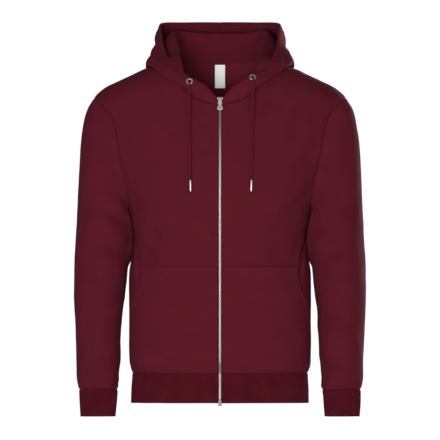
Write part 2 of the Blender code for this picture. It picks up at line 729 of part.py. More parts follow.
def zip_profile():
    """The line of the zip on the cloth's outer face, from the hem to its top, at x = 0."""
    column = half_panel(-1)[: len(PANEL_ROWS) + ZIP_STEPS, 0]
    low = band_face()[:-1, 0]
    line = np.concatenate([low, column])
    rise = unit(line[-1] - line[-2])
    line = np.concatenate([line, [line[-1] + rise * ZIP_TOP_RISE]])
    line[:, 0] = 0.0
    return line


def strip_along(name, line, reach, face, back, finish):
    """A flat strip that follows the zip's line between two x, its two faces set in from the cloth."""
    tangent = unit(np.gradient(line, axis=0))
    inward = np.stack([np.zeros(len(line)), tangent[:, 2], -tangent[:, 1]], axis=1)
    outer, inner = [
        np.stack([line + inward * depth + (x, 0.0, 0.0) for x in reach], axis=1)
        for depth in (face, back)
    ]
    return wall(name, outer, inner, finish)


def make_zip_strips():
    line = zip_profile()
    tapes = line.copy()
    for name, sign in (("right", -1), ("left", 1)):
        reach = [sign * x for x in TAPE_REACH]
        strip_along("zip_tape_" + name, tapes, reach, TAPE_FACE, TAPE_BACK, "tape")
    chain = line.copy()
    chain[0, 2] = HEM_Z - BOX_DROP + BOX_SIZE[2] + SEAM_GAP
    sides = (-CHAIN_HALF_WIDTH, CHAIN_HALF_WIDTH)
    strip_along("zip_chain", chain, sides, CHAIN_FACE, CHAIN_BACK, "nickel")


def make_zip_box():
    line = zip_profile()
    width, thickness, height = BOX_SIZE
    bpy.ops.mesh.primitive_cube_add(size=1)
    box = bpy.context.object
    box.name = box.data.name = "zip_box"
    box.data.transform(Matrix.Diagonal((width, thickness, height, 1)))
    middle = TAPE_FACE - SEAM_GAP - thickness / 2
    box.location = (0, line[0, 1] + middle, HEM_Z - BOX_DROP + height / 2)
    bevel = box.modifiers.new("edges", "BEVEL")
    bevel.width = BOX_EDGE
    bevel.segments = 2
    keep(box, "nickel")


def block(name, size, middle):
    """A box of a given size around a middle, as a mesh object."""
    bpy.ops.mesh.primitive_cube_add(size=1)
    thing = bpy.context.object
    thing.name = thing.data.name = name
    thing.data.transform(Matrix.Translation(middle) @ Matrix.Diagonal((*size, 1)))
    return thing


def plate(name, outline, thickness, depth):
    """A flat plate with an outline in x and z; depth is the y of its middle."""
    work = bmesh.new()
    corners = [work.verts.new((x, depth - thickness / 2, z)) for x, z in outline]
    face = work.faces.new(corners)
    pushed = bmesh.ops.extrude_face_region(work, geom=[face])["geom"]
    moved = [part for part in pushed if isinstance(part, bmesh.types.BMVert)]
    bmesh.ops.translate(work, verts=moved, vec=(0, thickness, 0))
    bmesh.ops.recalc_face_normals(work, faces=work.faces)
    mesh = bpy.data.meshes.new(name)
    work.to_mesh(mesh)
    work.free()
    thing = bpy.data.objects.new(name, mesh)
    bpy.context.scene.collection.objects.link(thing)
    return thing


def boolean(thing, other, operation):
    """Cut one object with another, or join it to it; the other becomes a cutter."""
    modifier = thing.modifiers.new(other.name, "BOOLEAN")
    modifier.operation = operation
    modifier.solver = "EXACT"
    modifier.object = keep(other)


def slider_depths():
    """Depths of the slider's faces from the cloth's outer face, and of the tab's hinge."""
    front_back = CHAIN_FACE - SLIDER_CLEARANCE
    front_face = front_back - SLIDER_PLATE
    back_face = TAPE_BACK + SLIDER_CLEARANCE
    hinge = front_face - BRIDGE_HOLE[0] / 2
    return front_face, front_back, back_face, hinge


def slider_frame():
    """The frame of the slider: its middle on the zip's line, its z up the zip, its -y out of the cloth."""
    line = zip_profile()
    rise = unit(line[-1] - line[-2])
    lean = math.atan2(rise[1], rise[2])
    middle = line[-1] + rise * (SLIDER_POST_LENGTH + SLIDER_CLEARANCE - SLIDER_LENGTH / 2)
    return Matrix.Translation(Vector(middle)) @ Matrix.Rotation(-lean, 4, "X")


def make_slider():
    """Two plates with the chain between them, the post that parts it, and the tab's bridge."""
    front_face, front_back, back_face, hinge = slider_depths()
    half, wide, narrow = SLIDER_LENGTH / 2, SLIDER_TOP_HALF_WIDTH, SLIDER_HALF_WIDTH
    right = [(SLIDER_TAIL_HALF_WIDTH, -half), (narrow, SLIDER_TAIL), (narrow, SLIDER_WAIST)]
    right += [(wide, SLIDER_SHOULDER), (SLIDER_TOP_CORNER, half)]
    outline = right + [(-x, z) for x, z in reversed(right)]
    slider = plate("zip_slider", outline, SLIDER_PLATE, (front_face + front_back) / 2)
    back = plate("slider_back", outline, SLIDER_PLATE, back_face + SLIDER_PLATE / 2)
    post_depth = back_face - front_back + SLIDER_PLATE
    post_middle = (0, (back_face + front_back) / 2, half - SLIDER_POST_LENGTH / 2)
    post = block("slider_post", (narrow, post_depth, SLIDER_POST_LENGTH), post_middle)
    bridge_out = hinge - BRIDGE_HOLE[0] / 2 - BRIDGE_WALL
    bridge_size = (BRIDGE_WIDTH, front_face + SLIDER_PLATE / 2 - bridge_out, BRIDGE_HOLE[1] + 2 * BRIDGE_WALL)
    bridge_middle = (0, (bridge_out + front_face + SLIDER_PLATE / 2) / 2, hinge_height())
    bridge = block("slider_bridge", bridge_size, bridge_middle)
    hole = block("bridge_hole", (4 * BRIDGE_WIDTH, *BRIDGE_HOLE), (0, hinge, hinge_height()))
    boolean(bridge, hole, "DIFFERENCE")
    for piece in (back, post, bridge):
        boolean(slider, piece, "UNION")
    slider.matrix_world = slider_frame()
    for cutter in (back, post, bridge, hole):
        cutter.matrix_world = slider.matrix_world
    keep(slider, "nickel")


def hinge_height():
    """Height of the tab's hinge in the slider's frame."""
    return SLIDER_LENGTH / 2 - SLIDER_POST_LENGTH - BRIDGE_WALL - BRIDGE_HOLE[1] / 2


def make_pull():
    """The pull tab: a flat tab with a window for the bridge and a hole near its broad end."""
    bar = PULL_THICKNESS / 2
    end = bar - PULL_LENGTH
    right = [(PULL_TOP_HALF_WIDTH, bar), *PULL_SIDE]
    turn = np.linspace(0.0, math.pi / 2, 5)
    round_end = PULL_END_START - end
    right += [(PULL_END_HALF_WIDTH * math.cos(a), PULL_END_START - round_end * math.sin(a)) for a in turn]
    outer = right + [(-x, z) for x, z in reversed(right[:-1])]
    window_x, window_z = PULL_WINDOW[0] / 2, PULL_WINDOW[1]
    window = [(window_x, -bar), (-window_x, -bar), (-window_x, -bar - window_z), (window_x, -bar - window_z)]
    turns = np.linspace(0, 2 * math.pi, 13)[:-1]
    hole = [(PULL_HOLE[0] * math.cos(a), PULL_HOLE_MIDDLE + PULL_HOLE[1] * math.sin(a)) for a in turns]
    curve = bpy.data.curves.new("zip_pull", "CURVE")
    curve.dimensions = "2D"
    curve.fill_mode = "BOTH"
    curve.extrude = PULL_THICKNESS / 2
    for loop in (outer, window, hole):
        spline = curve.splines.new("POLY")
        spline.points.add(len(loop) - 1)
        for point, (x, y) in zip(spline.points, loop):
            point.co = (x, y, 0.0, 1.0)
        spline.use_cyclic_u = True
    pull = bpy.data.objects.new("zip_pull", curve)
    hinge = slider_depths()[3]
    place = slider_frame() @ Matrix.Translation((0, hinge, hinge_height()))
    pull.matrix_world = place @ Matrix.Rotation(math.pi / 2, 4, "X")
    bpy.context.scene.collection.objects.link(pull)
    keep(pull, "nickel")


# ---------------------------------------------------------------- eyelets and cords


def hood_spot(x, z):
    """The point and outward direction of the hood's front wall over a place in the front view."""
    places, rows = np.linspace(0.10, 0.36, 60), np.linspace(0.30, 1.0, 80)
    sheet = hood_sheet(places, rows)
    normals = face_normals(sheet)
    near = np.hypot(sheet[..., 0] - abs(x), sheet[..., 2] - z)
    spot = np.unravel_index(np.argmin(near), near.shape)
    point, normal = sheet[spot].copy(), normals[spot].copy()
    if x < 0:
        point[0], normal[0] = -point[0], -normal[0]
    return Vector(point), Vector(normal)


def make_eyelet(side_name):
    """A pressed ring, turned from the profile of its rounded wall."""
    x, z = EYELETS[side_name]
    point, normal = hood_spot(x, z)
    middle, half = (EYELET_RADIUS + EYELET_HOLE) / 2, (EYELET_RADIUS - EYELET_HOLE) / 2
    name = "eyelet_" + side_name
    turns = np.linspace(0, 2 * math.pi, 11)[:-1]
    profile = [(middle + half * math.cos(a), 0, EYELET_HEIGHT / 2 * math.sin(a)) for a in reversed(turns)]
    mesh = bpy.data.meshes.new(name)
    mesh.from_pydata(profile, [(i, (i + 1) % len(profile)) for i in range(len(profile))], [])
    eyelet = bpy.data.objects.new(name, mesh)
    bpy.context.scene.collection.objects.link(eyelet)
    screw = eyelet.modifiers.new("turn", "SCREW")
    screw.steps = screw.render_steps = 20
    screw.use_merge_vertices = True
    screw.merge_threshold = 0.00001
    seat = point + normal * (EYELET_HEIGHT / 2 + EYELET_STAND)
    eyelet.matrix_world = Matrix.Translation(seat) @ normal.to_track_quat("Z", "Y").to_matrix().to_4x4()
    keep(eyelet, "nickel")
    return seat, normal


def make_cord(side_name, seat, normal):
    """One free end of the drawcord, out of its eyelet and down the front, and its metal tip."""
    start = seat - normal * (EYELET_HEIGHT / 2)
    route = [start, start + normal * CORD_EXIT, *[Vector(p) for p in CORDS[side_name]]]
    route = np.array([tuple(p) for p in route])
    steps = np.linalg.norm(np.diff(route, axis=0), axis=1)
    along = np.concatenate(([0.0], np.cumsum(steps)))
    fine = curve_through(along, route, np.linspace(0.0, along[-1], 600))
    points = by_length(fine, round(along[-1] / CORD_STEP) + 1)
    curve = bpy.data.curves.new("cord_" + side_name, "CURVE")
    curve.dimensions = "3D"
    curve.bevel_depth = CORD_DIAMETER / 2
    curve.bevel_resolution = 2
    curve.use_fill_caps = True
    spline = curve.splines.new("POLY")
    spline.points.add(len(points) - 1)
    for target, point in zip(spline.points, points):
        target.co = (*point, 1.0)
    cord = bpy.data.objects.new(curve.name, curve)
    bpy.context.scene.collection.objects.link(cord)
    keep(cord, "cord")
    end = Vector(points[-1])
    down = (end - Vector(points[-2])).normalized()
    bpy.ops.mesh.primitive_cone_add(
        vertices=16, radius1=TIP_RADIUS * 0.72, radius2=TIP_RADIUS, depth=TIP_LENGTH, end_fill_type="NGON"
    )
    tip = bpy.context.object
    tip.name = tip.data.name = "cord_tip_" + side_name
    centre = end + down * (SEAM_GAP + TIP_LENGTH / 2)
    tip.matrix_world = Matrix.Translation(centre) @ (-down).to_track_quat("Z", "Y").to_matrix().to_4x4()
    keep(tip, "nickel")


def main():
    clear_scene()
    make_fronts()
    make_back()
    make_sleeves()
    make_cuffs()
    make_waistband()
    make_hood()
    make_neck_tape()
    make_label()
    make_pockets()
    make_zip_strips()
    make_zip_box()
    make_slider()
    make_pull()
    for side_name in ("right", "left"):
        seat, normal = make_eyelet(side_name)
        make_cord(side_name, seat, normal)


main()
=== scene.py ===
import logging
import math
from dataclasses import dataclass
from enum import Enum
from typing import Callable, Iterable

import bmesh
import bpy
import numpy as np
from mathutils import Matrix, Vector


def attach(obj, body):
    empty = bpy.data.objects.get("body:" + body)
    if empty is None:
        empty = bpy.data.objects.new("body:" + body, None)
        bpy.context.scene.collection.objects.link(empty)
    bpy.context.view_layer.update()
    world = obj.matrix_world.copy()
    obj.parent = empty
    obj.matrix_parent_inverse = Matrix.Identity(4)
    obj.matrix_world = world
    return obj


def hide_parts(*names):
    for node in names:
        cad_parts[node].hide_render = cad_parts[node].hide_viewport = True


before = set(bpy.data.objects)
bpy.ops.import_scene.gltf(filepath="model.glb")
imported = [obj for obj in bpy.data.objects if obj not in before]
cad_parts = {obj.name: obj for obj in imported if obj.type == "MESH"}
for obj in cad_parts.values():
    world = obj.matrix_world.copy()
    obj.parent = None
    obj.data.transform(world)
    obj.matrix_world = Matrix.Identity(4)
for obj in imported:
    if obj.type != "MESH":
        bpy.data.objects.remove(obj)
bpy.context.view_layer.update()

LOG = logging.getLogger("hoodie")

Array = np.ndarray
Face = tuple[int, ...]
Pair = tuple[float, float]
Route = tuple[tuple[float, ...], ...]
Triple = tuple[float, float, float]
Socket = bpy.types.NodeSocket
Twist = Callable[[Array, Array], Array]

GARMENT = "garment"
PULL_TAB = "pull_tab"

# The pattern's main sizes, in metres: the same as the solids'
FLEECE = 0.002
RIB = 0.0025
HEM_Z, BAND_SEAM_Z, POCKET_TOP_Z, UNDERARM_Z = -0.699, -0.636, -0.4137, -0.3
SHOULDER_TIP_Z, NECK_SIDE_Z = -0.0588, 0.028
NECK_HALF_WIDTH, NECK_DROP_FRONT, NECK_DROP_BACK, NECK_POWER = 0.093, 0.0994, 0.0112, 2.3
ARMHOLE_FRONT, ARMHOLE_BACK, ARMHOLE_POWER = 0.062, 0.066, 2.5
ZIP_EDGE = 0.0039
SIDE_SEAM = 0.336
SLEEVE_CLEARANCE = 0.0015
SLEEVE_SHAPE_ROWS = 5
# Where a sleeve lies on the trunk's side: heights, the gaps that it bridges, and how far it sinks in
LIES_ON_SIDE_FROM, LIES_ON_SIDE_TO = (-0.416, -0.398), (-0.29, -0.305)
DRAWN_IN, SINK = (0.0035, 0.009), 0.0004
# Where the sleeve hides the side seam, where the armpit is, and where the armhole's seam starts
HIDDEN_FROM, HIDDEN_TO = (-0.43, -0.41), (-0.27, -0.29)
ARMPIT_FROM, ARMPIT_OUT = (-0.44, -0.4), (0.16, 0.18)
ARMHOLE_SEWN_FROM = (-0.29, -0.28)
ZIP_SHARE = 0.4  # of the way up from the underarm, along the front's middle edge
HOOD_CLEARANCE, HOOD_FLAT_AT_ZIP, HOOD_FLAT_AT_SEAM = 0.0045, 0.1, 0.08
HOOD_ROWS, HOOD_SMOOTHINGS = 161, 8

# Distances from an edge at which a grid of cloth has its closest lines
EDGE_LINES = (0.0, 0.0007, 0.0015, 0.0026, 0.004, 0.0058)

# Body sections: height, half width, depth in front, depth behind, squareness
TORSO = (
    (-0.699, 0.187, 0.1135, 0.0985, 2.5),
    (-0.668, 0.1862, 0.114, 0.099, 2.5),
    (-0.636, 0.1848, 0.113, 0.098, 2.5),
    (-0.615, 0.1896, 0.1185, 0.104, 2.5),
    (-0.59, 0.1908, 0.1208, 0.1065, 2.5),
    (-0.54, 0.191, 0.123, 0.109, 2.45),
    (-0.46, 0.1908, 0.1275, 0.113, 2.4),
    (-0.415, 0.1895, 0.13, 0.115, 2.35),
    (-0.385, 0.1835, 0.1315, 0.116, 2.3),
    (-0.355, 0.1815, 0.1325, 0.1175, 2.3),
    (-0.323, 0.186, 0.1335, 0.119, 2.3),
    (-0.295, 0.1925, 0.1345, 0.1205, 2.3),
    (-0.248, 0.208, 0.1345, 0.1235, 2.3),
    (-0.204, 0.225, 0.1315, 0.1255, 2.25),
    (-0.145, 0.243, 0.124, 0.126, 2.15),
    (-0.1, 0.2535, 0.114, 0.122, 2.1),
    (-0.0588, 0.2646, 0.102, 0.112, 2.0),
    (-0.047, 0.254, 0.099, 0.1085, 2.0),
    (-0.0357, 0.239, 0.096, 0.105, 2.0),
    (-0.02, 0.206, 0.0915, 0.0985, 2.0),
    (0.002, 0.158, 0.085, 0.087, 2.0),
    (0.028, 0.093, 0.072, 0.07, 2.0),
    (0.034, 0.078, 0.069, 0.066, 2.0),
)

# Sleeve sections below the armhole: under side x and z, outer side x and z, half depth, middle y
SLEEVE = (
    (0.1895, -0.313, 0.278, -0.082, 0.063, 0.0),
    (0.186, -0.326, 0.2862, -0.11, 0.065, 0.0),
    (0.1835, -0.34, 0.2925, -0.152, 0.067, 0.0),
    (0.1825, -0.356, 0.2965, -0.215, 0.07, 0.001),
    (0.183, -0.372, 0.3, -0.285, 0.073, 0.002),
    (0.187, -0.39, 0.3025, -0.345, 0.075, 0.002),
    (0.1925, -0.41, 0.3055, -0.395, 0.076, 0.001),
    (0.1965, -0.45, 0.3068, -0.446, 0.074, 0.0),
    (0.203, -0.5, 0.306, -0.498, 0.068, -0.002),
    (0.207, -0.56, 0.3035, -0.56, 0.062, -0.006),
    (0.2105, -0.615, 0.3012, -0.615, 0.055, -0.012),
    (0.2122, -0.648, 0.3005, -0.648, 0.048, -0.016),
    (0.2133, -0.67, 0.2965, -0.67, 0.036, -0.019),
)

# Cuff sections: inner x, outer x, height, half depth, middle y
CUFF = (
    (0.2138, 0.2958, -0.67, 0.035, -0.019),
    (0.215, 0.2955, -0.678, 0.0325, -0.0192),
    (0.2175, 0.2945, -0.704, 0.031, -0.0205),
    (0.219, 0.2935, -0.7275, 0.03, -0.0215),
)

# Hood sections: place along half the neck seam, then roll, wall, lowest fold, outer belly, rim
HOOD = (
    (0.0, 0.006, -0.1053, -0.0685, 0.0074, -0.1047, -0.066, 0.0078, -0.104, -0.063,
     0.0078, -0.1032, -0.06, 0.0078, -0.1024, -0.057),
    (0.13, 0.041, -0.1045, -0.0625, 0.0405, -0.108, -0.057, 0.0395, -0.1105, -0.05,
     0.0375, -0.111, -0.041, 0.034, -0.1085, -0.032),
    (0.23, 0.0635, -0.099, -0.0505, 0.0665, -0.1065, -0.0455, 0.0685, -0.11, -0.0375,
     0.0675, -0.1085, -0.0255, 0.0655, -0.102, -0.014),
    (0.36, 0.0765, -0.069, 0.005, 0.089, -0.081, -0.0215, 0.109, -0.087, -0.0165,
     0.107, -0.081, -0.003, 0.093, -0.07, 0.008),
    (0.55, 0.088, -0.01, 0.052, 0.121, -0.005, 0.012, 0.1535, 0.002, 0.01,
     0.1462, 0.0, 0.035, 0.1185, -0.015, 0.045),
    (0.68, 0.0925, 0.038, 0.0745, 0.119, 0.054, 0.056, 0.1425, 0.092, -0.024,
     0.1432, 0.076, 0.036, 0.1265, 0.032, 0.086),
    (0.77, 0.081, 0.064, 0.0768, 0.105, 0.086, 0.05, 0.118, 0.129, -0.062,
     0.1345, 0.108, 0.038, 0.124, 0.062, 0.0985),
    (0.88, 0.045, 0.077, 0.0765, 0.058, 0.108, 0.008, 0.066, 0.143, -0.104,
     0.08, 0.152, 0.0, 0.072, 0.082, 0.1005),
    (1.0, 0.0, 0.079, 0.076, 0.0, 0.112, -0.01, 0.0, 0.144, -0.122,
     0.0, 0.166, -0.015, 0.0, 0.09, 0.1008),
)
# How far from seam to rim a section's points lie, and where along the neck seam each section starts
HOOD_PLACES = (0.0, 0.13, 0.33, 0.54, 0.77, 1.0)
HOOD_FEET = (0.0, 0.112, 0.188, 0.345, 0.555, 0.69, 0.77, 0.875, 1.0)


class Facing(Enum):
    """Which half of the body a panel covers; the value is the sign of its y."""

    FRONT = -1
    BACK = 1


class Hand(Enum):
    """The wearer's right (-X) or left (+X); the value is the sign of x."""

    RIGHT = -1
    LEFT = 1

    @property
    def word(self) -> str:
        """The side's name as the pieces use it."""
        return self.name.lower()

    def choose(self, right: int, left: int) -> int:
        """The one of two numbers that is for this side."""
        return right if self is Hand.RIGHT else left


class Edge(Enum):
    """An edge of a grid of cloth."""

    FIRST_ROW = "first row"
    LAST_ROW = "last row"
    FIRST_COLUMN = "first column"
    LAST_COLUMN = "last column"


# ------------------------------------------------------------------ curves, spacing and noise


def curve_through(stations: Iterable[float], values: Iterable, places: Array) -> Array:
    """Read a smooth curve through a table.

    Between two rows it is the cubic whose ends have the rows' values and the slopes found from
    their neighbours.

    Args:
        stations: the rising parameter of each row.
        values: a number or a vector for each row.
        places: parameters to read the curve at.

    Returns:
        A value for each place.
    """
    stations = np.asarray(stations, float)
    values = np.asarray(values, float)
    slopes = np.gradient(values, stations, axis=0)
    places = np.clip(np.asarray(places, float), stations[0], stations[-1])
    row = np.clip(np.searchsorted(stations, places, side="right") - 1, 0, len(stations) - 2)
    span = stations[row + 1] - stations[row]
    f = (places - stations[row]) / span
    extra = (1,) * (values.ndim - 1)
    f = f.reshape(f.shape + extra)
    span = span.reshape(span.shape + extra)
    start = (2 * f**3 - 3 * f**2 + 1) * values[row] + (f**3 - 2 * f**2 + f) * span * slopes[row]
    end = (3 * f**2 - 2 * f**3) * values[row + 1] + (f**3 - f**2) * span * slopes[row + 1]
    return start + end


def unit(vectors: Array) -> Array:
    """The same vectors at length one."""
    return vectors / np.maximum(np.linalg.norm(vectors, axis=-1, keepdims=True), 1e-12)


def lengths_along(points: Array) -> Array:
    """The distance walked from the first point of a line to each of its points."""
    steps = np.linalg.norm(np.diff(points, axis=0), axis=-1)
    return np.concatenate([np.zeros((1,) + steps.shape[1:]), np.cumsum(steps, axis=0)])


def read_along(along: Array, values: Array, wanted: Array) -> Array:
    """Vectors given at rising distances, read at wanted distances."""
    return np.stack([np.interp(wanted, along, axis) for axis in values.T], axis=1)


def at_lengths(points: Array, wanted: Array) -> Array:
    """Points of a line at wanted distances from its start."""
    return read_along(lengths_along(points), points, wanted)


def smooth_step(low: float, high: float, values: Array) -> Array:
    """0 below low, 1 above high, and an even S curve between."""
    t = np.clip((values - low) / (high - low), 0.0, 1.0)
    return t * t * (3 - 2 * t)


def spacing(count: int, length: float, close_at_start: bool = True, close_at_end: bool = True) -> Array:
    """Parameters from 0 to 1: even steps, with extra lines close to the ends, for rolled edges.

    Args:
        count: the number of even steps.
        length: the length in metres that 0 to 1 stands for.
        close_at_start: add lines within 6 mm of 0.
        close_at_end: add lines within 6 mm of 1.

    Returns:
        Rising parameters that include 0 and 1.
    """
    near = np.array(EDGE_LINES) / length
    low, high = (near if close_at_start else near[:1]), (near if close_at_end else near[:1])
    step = 1.0 / count
    even = np.linspace(low[-1] + step, 1 - high[-1] - step, max(2, count - 1))
    return np.concatenate([low, even, 1 - high[::-1]])


def wandering(points: Array, size: float, seed: int) -> Array:
    """A smooth uneven value from about -1 to 1: the mean of plane waves of about one length.

    Args:
        points: places in metres, in any number of dimensions.
        size: the waves' typical length in metres.
        seed: makes each use different.

    Returns:
        A value for each point.
    """
    draw = np.random.default_rng(seed)
    directions = unit(draw.normal(size=(18, points.shape[-1])))
    pitch = size * draw.uniform(0.6, 1.6, 18)
    phase = draw.uniform(0.0, 2 * math.pi, 18)
    waves = np.sin(points @ (directions * (2 * math.pi / pitch)[:, None]).T + phase)
    return waves.mean(axis=-1) * 2.4


# ------------------------------------------------------------------ the garment's form


class BodyForm:
    """The garment's form as worn: the trunk's rounded oval sections, and its seams, sleeves and hood."""

    def section(self, z: Array) -> Array:
        """Half width, front depth, back depth and squareness at each height."""
        table = np.array(TORSO)
        return np.moveaxis(curve_through(table[:, 0], table[:, 1:], z), -1, 0)

    def lift(self, x: Array, z: Array, facing: Facing) -> Array:
        """Points on the outer face over places in the front view.

        The depth is D (1 - (|x| / W)^n)^(1/n), with W, D and n of the section at that height.

        Args:
            x: distance from the middle.
            z: height.
            facing: the front or the back half.

        Returns:
            Points with x, y and z.
        """
        width, front, back, power = self.section(z)
        depth = front if facing is Facing.FRONT else back
        inside = np.clip(1.0 - np.clip(np.abs(x) / width, 0.0, 1.0) ** power, 0.0, 1.0)
        return np.stack([x, facing.value * depth * inside ** (1.0 / power), z], axis=-1)

    def face(self, facing: Facing) -> Callable[[Array], Array]:
        """What lifts pairs of x and z to the front or the back."""
        return lambda pairs: self.lift(pairs[:, 0], pairs[:, 1], facing)

    def level(self, points: Array) -> tuple[Array, Array]:
        """How far out points lie in the form: (|x| / W)^n + (|y| / D)^n - 1, which is 0 on it.

        Args:
            points: points with x, y and z.

        Returns:
            A value for each point, and the gradient of the value there.
        """
        x, y, z = np.moveaxis(points, -1, 0)
        step = 0.001
        width, front, back, power = self.section(z)
        depth = np.where(y < 0, front, back)
        above, below = self.section(z + step), self.section(z - step)
        width_slope = (above[0] - below[0]) / (2 * step)
        depth_slope = np.where(y < 0, above[1] - below[1], above[2] - below[2]) / (2 * step)
        across = (np.abs(x) / width) ** (power - 1)
        through = (np.abs(y) / depth) ** (power - 1)
        value = across * np.abs(x) / width + through * np.abs(y) / depth - 1
        up = -across * np.abs(x) / width**2 * width_slope
        up = up - through * np.abs(y) / depth**2 * depth_slope
        growth = np.stack([np.sign(x) * across / width, np.sign(y) * through / depth, up], axis=-1)
        return value, growth * power[..., None]

    def outward(self, points: Array) -> Array:
        """Directions square to the form."""
        return unit(self.level(points)[1])

    def clear(self, points: Array, clearance: Array) -> Array:
        """Points moved straight out until they stand off the form by the clearance.

        Args:
            points: points with x, y and z.
            clearance: the least distance from the form for each point.

        Returns:
            The points, those that were too close moved.
        """
        for _ in range(6):
            value, growth = self.level(points)
            steepness = np.linalg.norm(growth, axis=-1)
            short = np.maximum(clearance - value / steepness, 0.0)
            points = points + growth * (short / steepness)[..., None]
        return points

    def neckline(self, facing: Facing, shares: Array) -> Array:
        """The neck seam of one panel: a squared oval in the front view, laid on the form.

        Args:
            facing: the front or the back half.
            shares: shares of the seam's length, 0 at the middle and 1 at the shoulder.

        Returns:
            A point for each share.
        """
        drop = NECK_DROP_FRONT if facing is Facing.FRONT else NECK_DROP_BACK
        start = ZIP_EDGE if facing is Facing.FRONT else 0.0
        first = math.asin((start / NECK_HALF_WIDTH) ** (NECK_POWER / 2))
        turn = np.linspace(first, math.pi / 2, 400)
        x = NECK_HALF_WIDTH * np.sin(turn) ** (2 / NECK_POWER)
        z = NECK_SIDE_Z - drop * np.clip(np.cos(turn), 0.0, 1.0) ** (2 / NECK_POWER)
        line = self.lift(x, z, facing)
        line[-1] = (NECK_HALF_WIDTH, 0.0, NECK_SIDE_Z)
        return at_lengths(line, shares * lengths_along(line)[-1])

    def armhole(self, facing: Facing, turn: Array) -> Array:
        """The armhole seam: a squared oval in the side view, laid on the form.

        Args:
            facing: the front or the back half.
            turn: angles from the shoulder's tip, 0, to the underarm, pi.

        Returns:
            A point for each angle.
        """
        middle, half = (UNDERARM_Z + SHOULDER_TIP_Z) / 2, (SHOULDER_TIP_Z - UNDERARM_Z) / 2
        reach = ARMHOLE_FRONT if facing is Facing.FRONT else ARMHOLE_BACK
        z = middle + half * np.cos(turn)
        bow = np.clip(1.0 - np.abs(np.cos(turn)) ** ARMHOLE_POWER, 0.0, 1.0)
        y = facing.value * reach * bow ** (1.0 / ARMHOLE_POWER)
        width, front, back, power = self.section(z)
        depth = front if facing is Facing.FRONT else back
        x = width * (1.0 - (np.abs(y) / depth) ** power) ** (1.0 / power)
        return np.stack([x, y, z], axis=-1)

    def half_width(self, z: float) -> float:
        """The section's half width at one height."""
        return self.section(np.array([z]))[0][0]

    def ridge(self, x: Array) -> Array:
        """Heights of the shoulder seam at distances from the middle."""
        z = np.linspace(NECK_SIDE_Z, SHOULDER_TIP_Z, 200)
        return np.interp(x, self.section(z)[0], z)

    def level_rows(self, facing: Facing, low: Array, start: float, spread: Array) -> Array:
        """The level rows of a body panel, from the waistband seam up to the underarm.

        Args:
            facing: the front or the back half.
            low: 0 at the waistband seam, 1 at the underarm.
            start: the x where spread is 0.
            spread: 1 at the left side seam, -1 at the right one.

        Returns:
            Rows by columns of points.
        """
        z = BAND_SEAM_Z + (UNDERARM_Z - BAND_SEAM_Z) * low
        x = start + (self.section(z)[0] - start)[:, None] * spread
        return self.lift(x, np.broadcast_to(z[:, None], x.shape), facing)

    def front(self, climb: Array, across: Array) -> Array:
        """The left front.

        Below the underarm the rows are level. Above it each row runs from the zip or the neck
        seam to the armhole, and the last one is the shoulder seam.

        Args:
            climb: 0 at the waistband seam, 1 at the underarm, 2 at the shoulder seam.
            across: 0 at the zip, 1 at the side seam and armhole.

        Returns:
            Rows by columns of points.
        """
        spread = np.sin(across * math.pi / 2)
        low, rise = climb[climb < 1], climb[climb >= 1] - 1
        seam = self.neckline(Facing.FRONT, np.clip((rise - ZIP_SHARE) / (1 - ZIP_SHARE), 0.0, 1.0))
        foot = self.neckline(Facing.FRONT, np.zeros(1))[0, 2]
        on_seam = rise >= ZIP_SHARE
        middle_x = np.where(on_seam, seam[:, 0], ZIP_EDGE)
        middle_z = np.where(on_seam, seam[:, 2], UNDERARM_Z + (foot - UNDERARM_Z) * rise / ZIP_SHARE)
        turn = math.pi * (1 - rise)
        edge = self.armhole(Facing.FRONT, turn)
        tip_x = self.half_width(SHOULDER_TIP_Z)
        bow = self.ridge(NECK_HALF_WIDTH + (tip_x - NECK_HALF_WIDTH) * spread)
        bow = bow - (NECK_SIDE_Z + (SHOULDER_TIP_Z - NECK_SIDE_Z) * spread)
        x = middle_x[:, None] + (edge[:, 0] - middle_x)[:, None] * spread
        z = middle_z[:, None] + (edge[:, 2] - middle_z)[:, None] * spread
        upper = self.lift(x, z + ((1 + np.cos(turn)) / 2)[:, None] * bow, Facing.FRONT)
        upper[:, -1] = edge
        upper[on_seam, 0] = seam[on_seam]
        upper[rise >= 1.0, :, 1] = 0.0
        return np.concatenate([self.level_rows(Facing.FRONT, low, ZIP_EDGE, spread), upper])

    def back(self, low: Array, rise: Array, across: Array, neck_starts: float) -> Array:
        """The whole back, with shoulder, neck and shoulder along its last row.

        Above the underarm the front view of the panel is a patch between its four edges: the mean
        of top and bottom edge by height, plus what the armholes differ from straight lines by.

        Args:
            low: heights below the underarm, 0 at the waistband seam, up to 1.
            rise: heights above it, 0 at the underarm and 1 along the shoulders and neck.
            across: 0 at the right armhole, 1 at the left one.
            neck_starts: the value of across where the right shoulder meets the neck.

        Returns:
            Rows by columns of points.
        """
        spread = np.sin((2 * across - 1) * math.pi / 2)
        side = np.minimum(across, 1 - across)
        tip_x = self.half_width(SHOULDER_TIP_Z)
        top_x = tip_x + (NECK_HALF_WIDTH - tip_x) * side / neck_starts
        in_neck = side > neck_starts + 1e-9
        seam = self.neckline(Facing.BACK, np.clip((0.5 - side) / (0.5 - neck_starts), 0.0, 1.0))
        shoulder = np.stack([top_x, self.ridge(top_x)], axis=1)
        top = np.where(in_neck[:, None], seam[:, [0, 2]], shoulder)
        top[:, 0] *= np.where(across < 0.5, -1.0, 1.0)
        foot = np.stack([self.half_width(UNDERARM_Z) * spread, np.full(len(across), UNDERARM_Z)], axis=1)
        edge = self.armhole(Facing.BACK, math.pi * (1 - rise))
        bow = edge[:, [0, 2]] - edge[0, [0, 2]] - (edge[-1, [0, 2]] - edge[0, [0, 2]]) * rise[:, None]
        flat = foot + (top - foot) * rise[:, None, None]
        flat = flat + bow[:, None] * np.stack([2 * across - 1, np.ones(len(across))], axis=1)
        upper = self.lift(flat[..., 0], flat[..., 1], Facing.BACK)
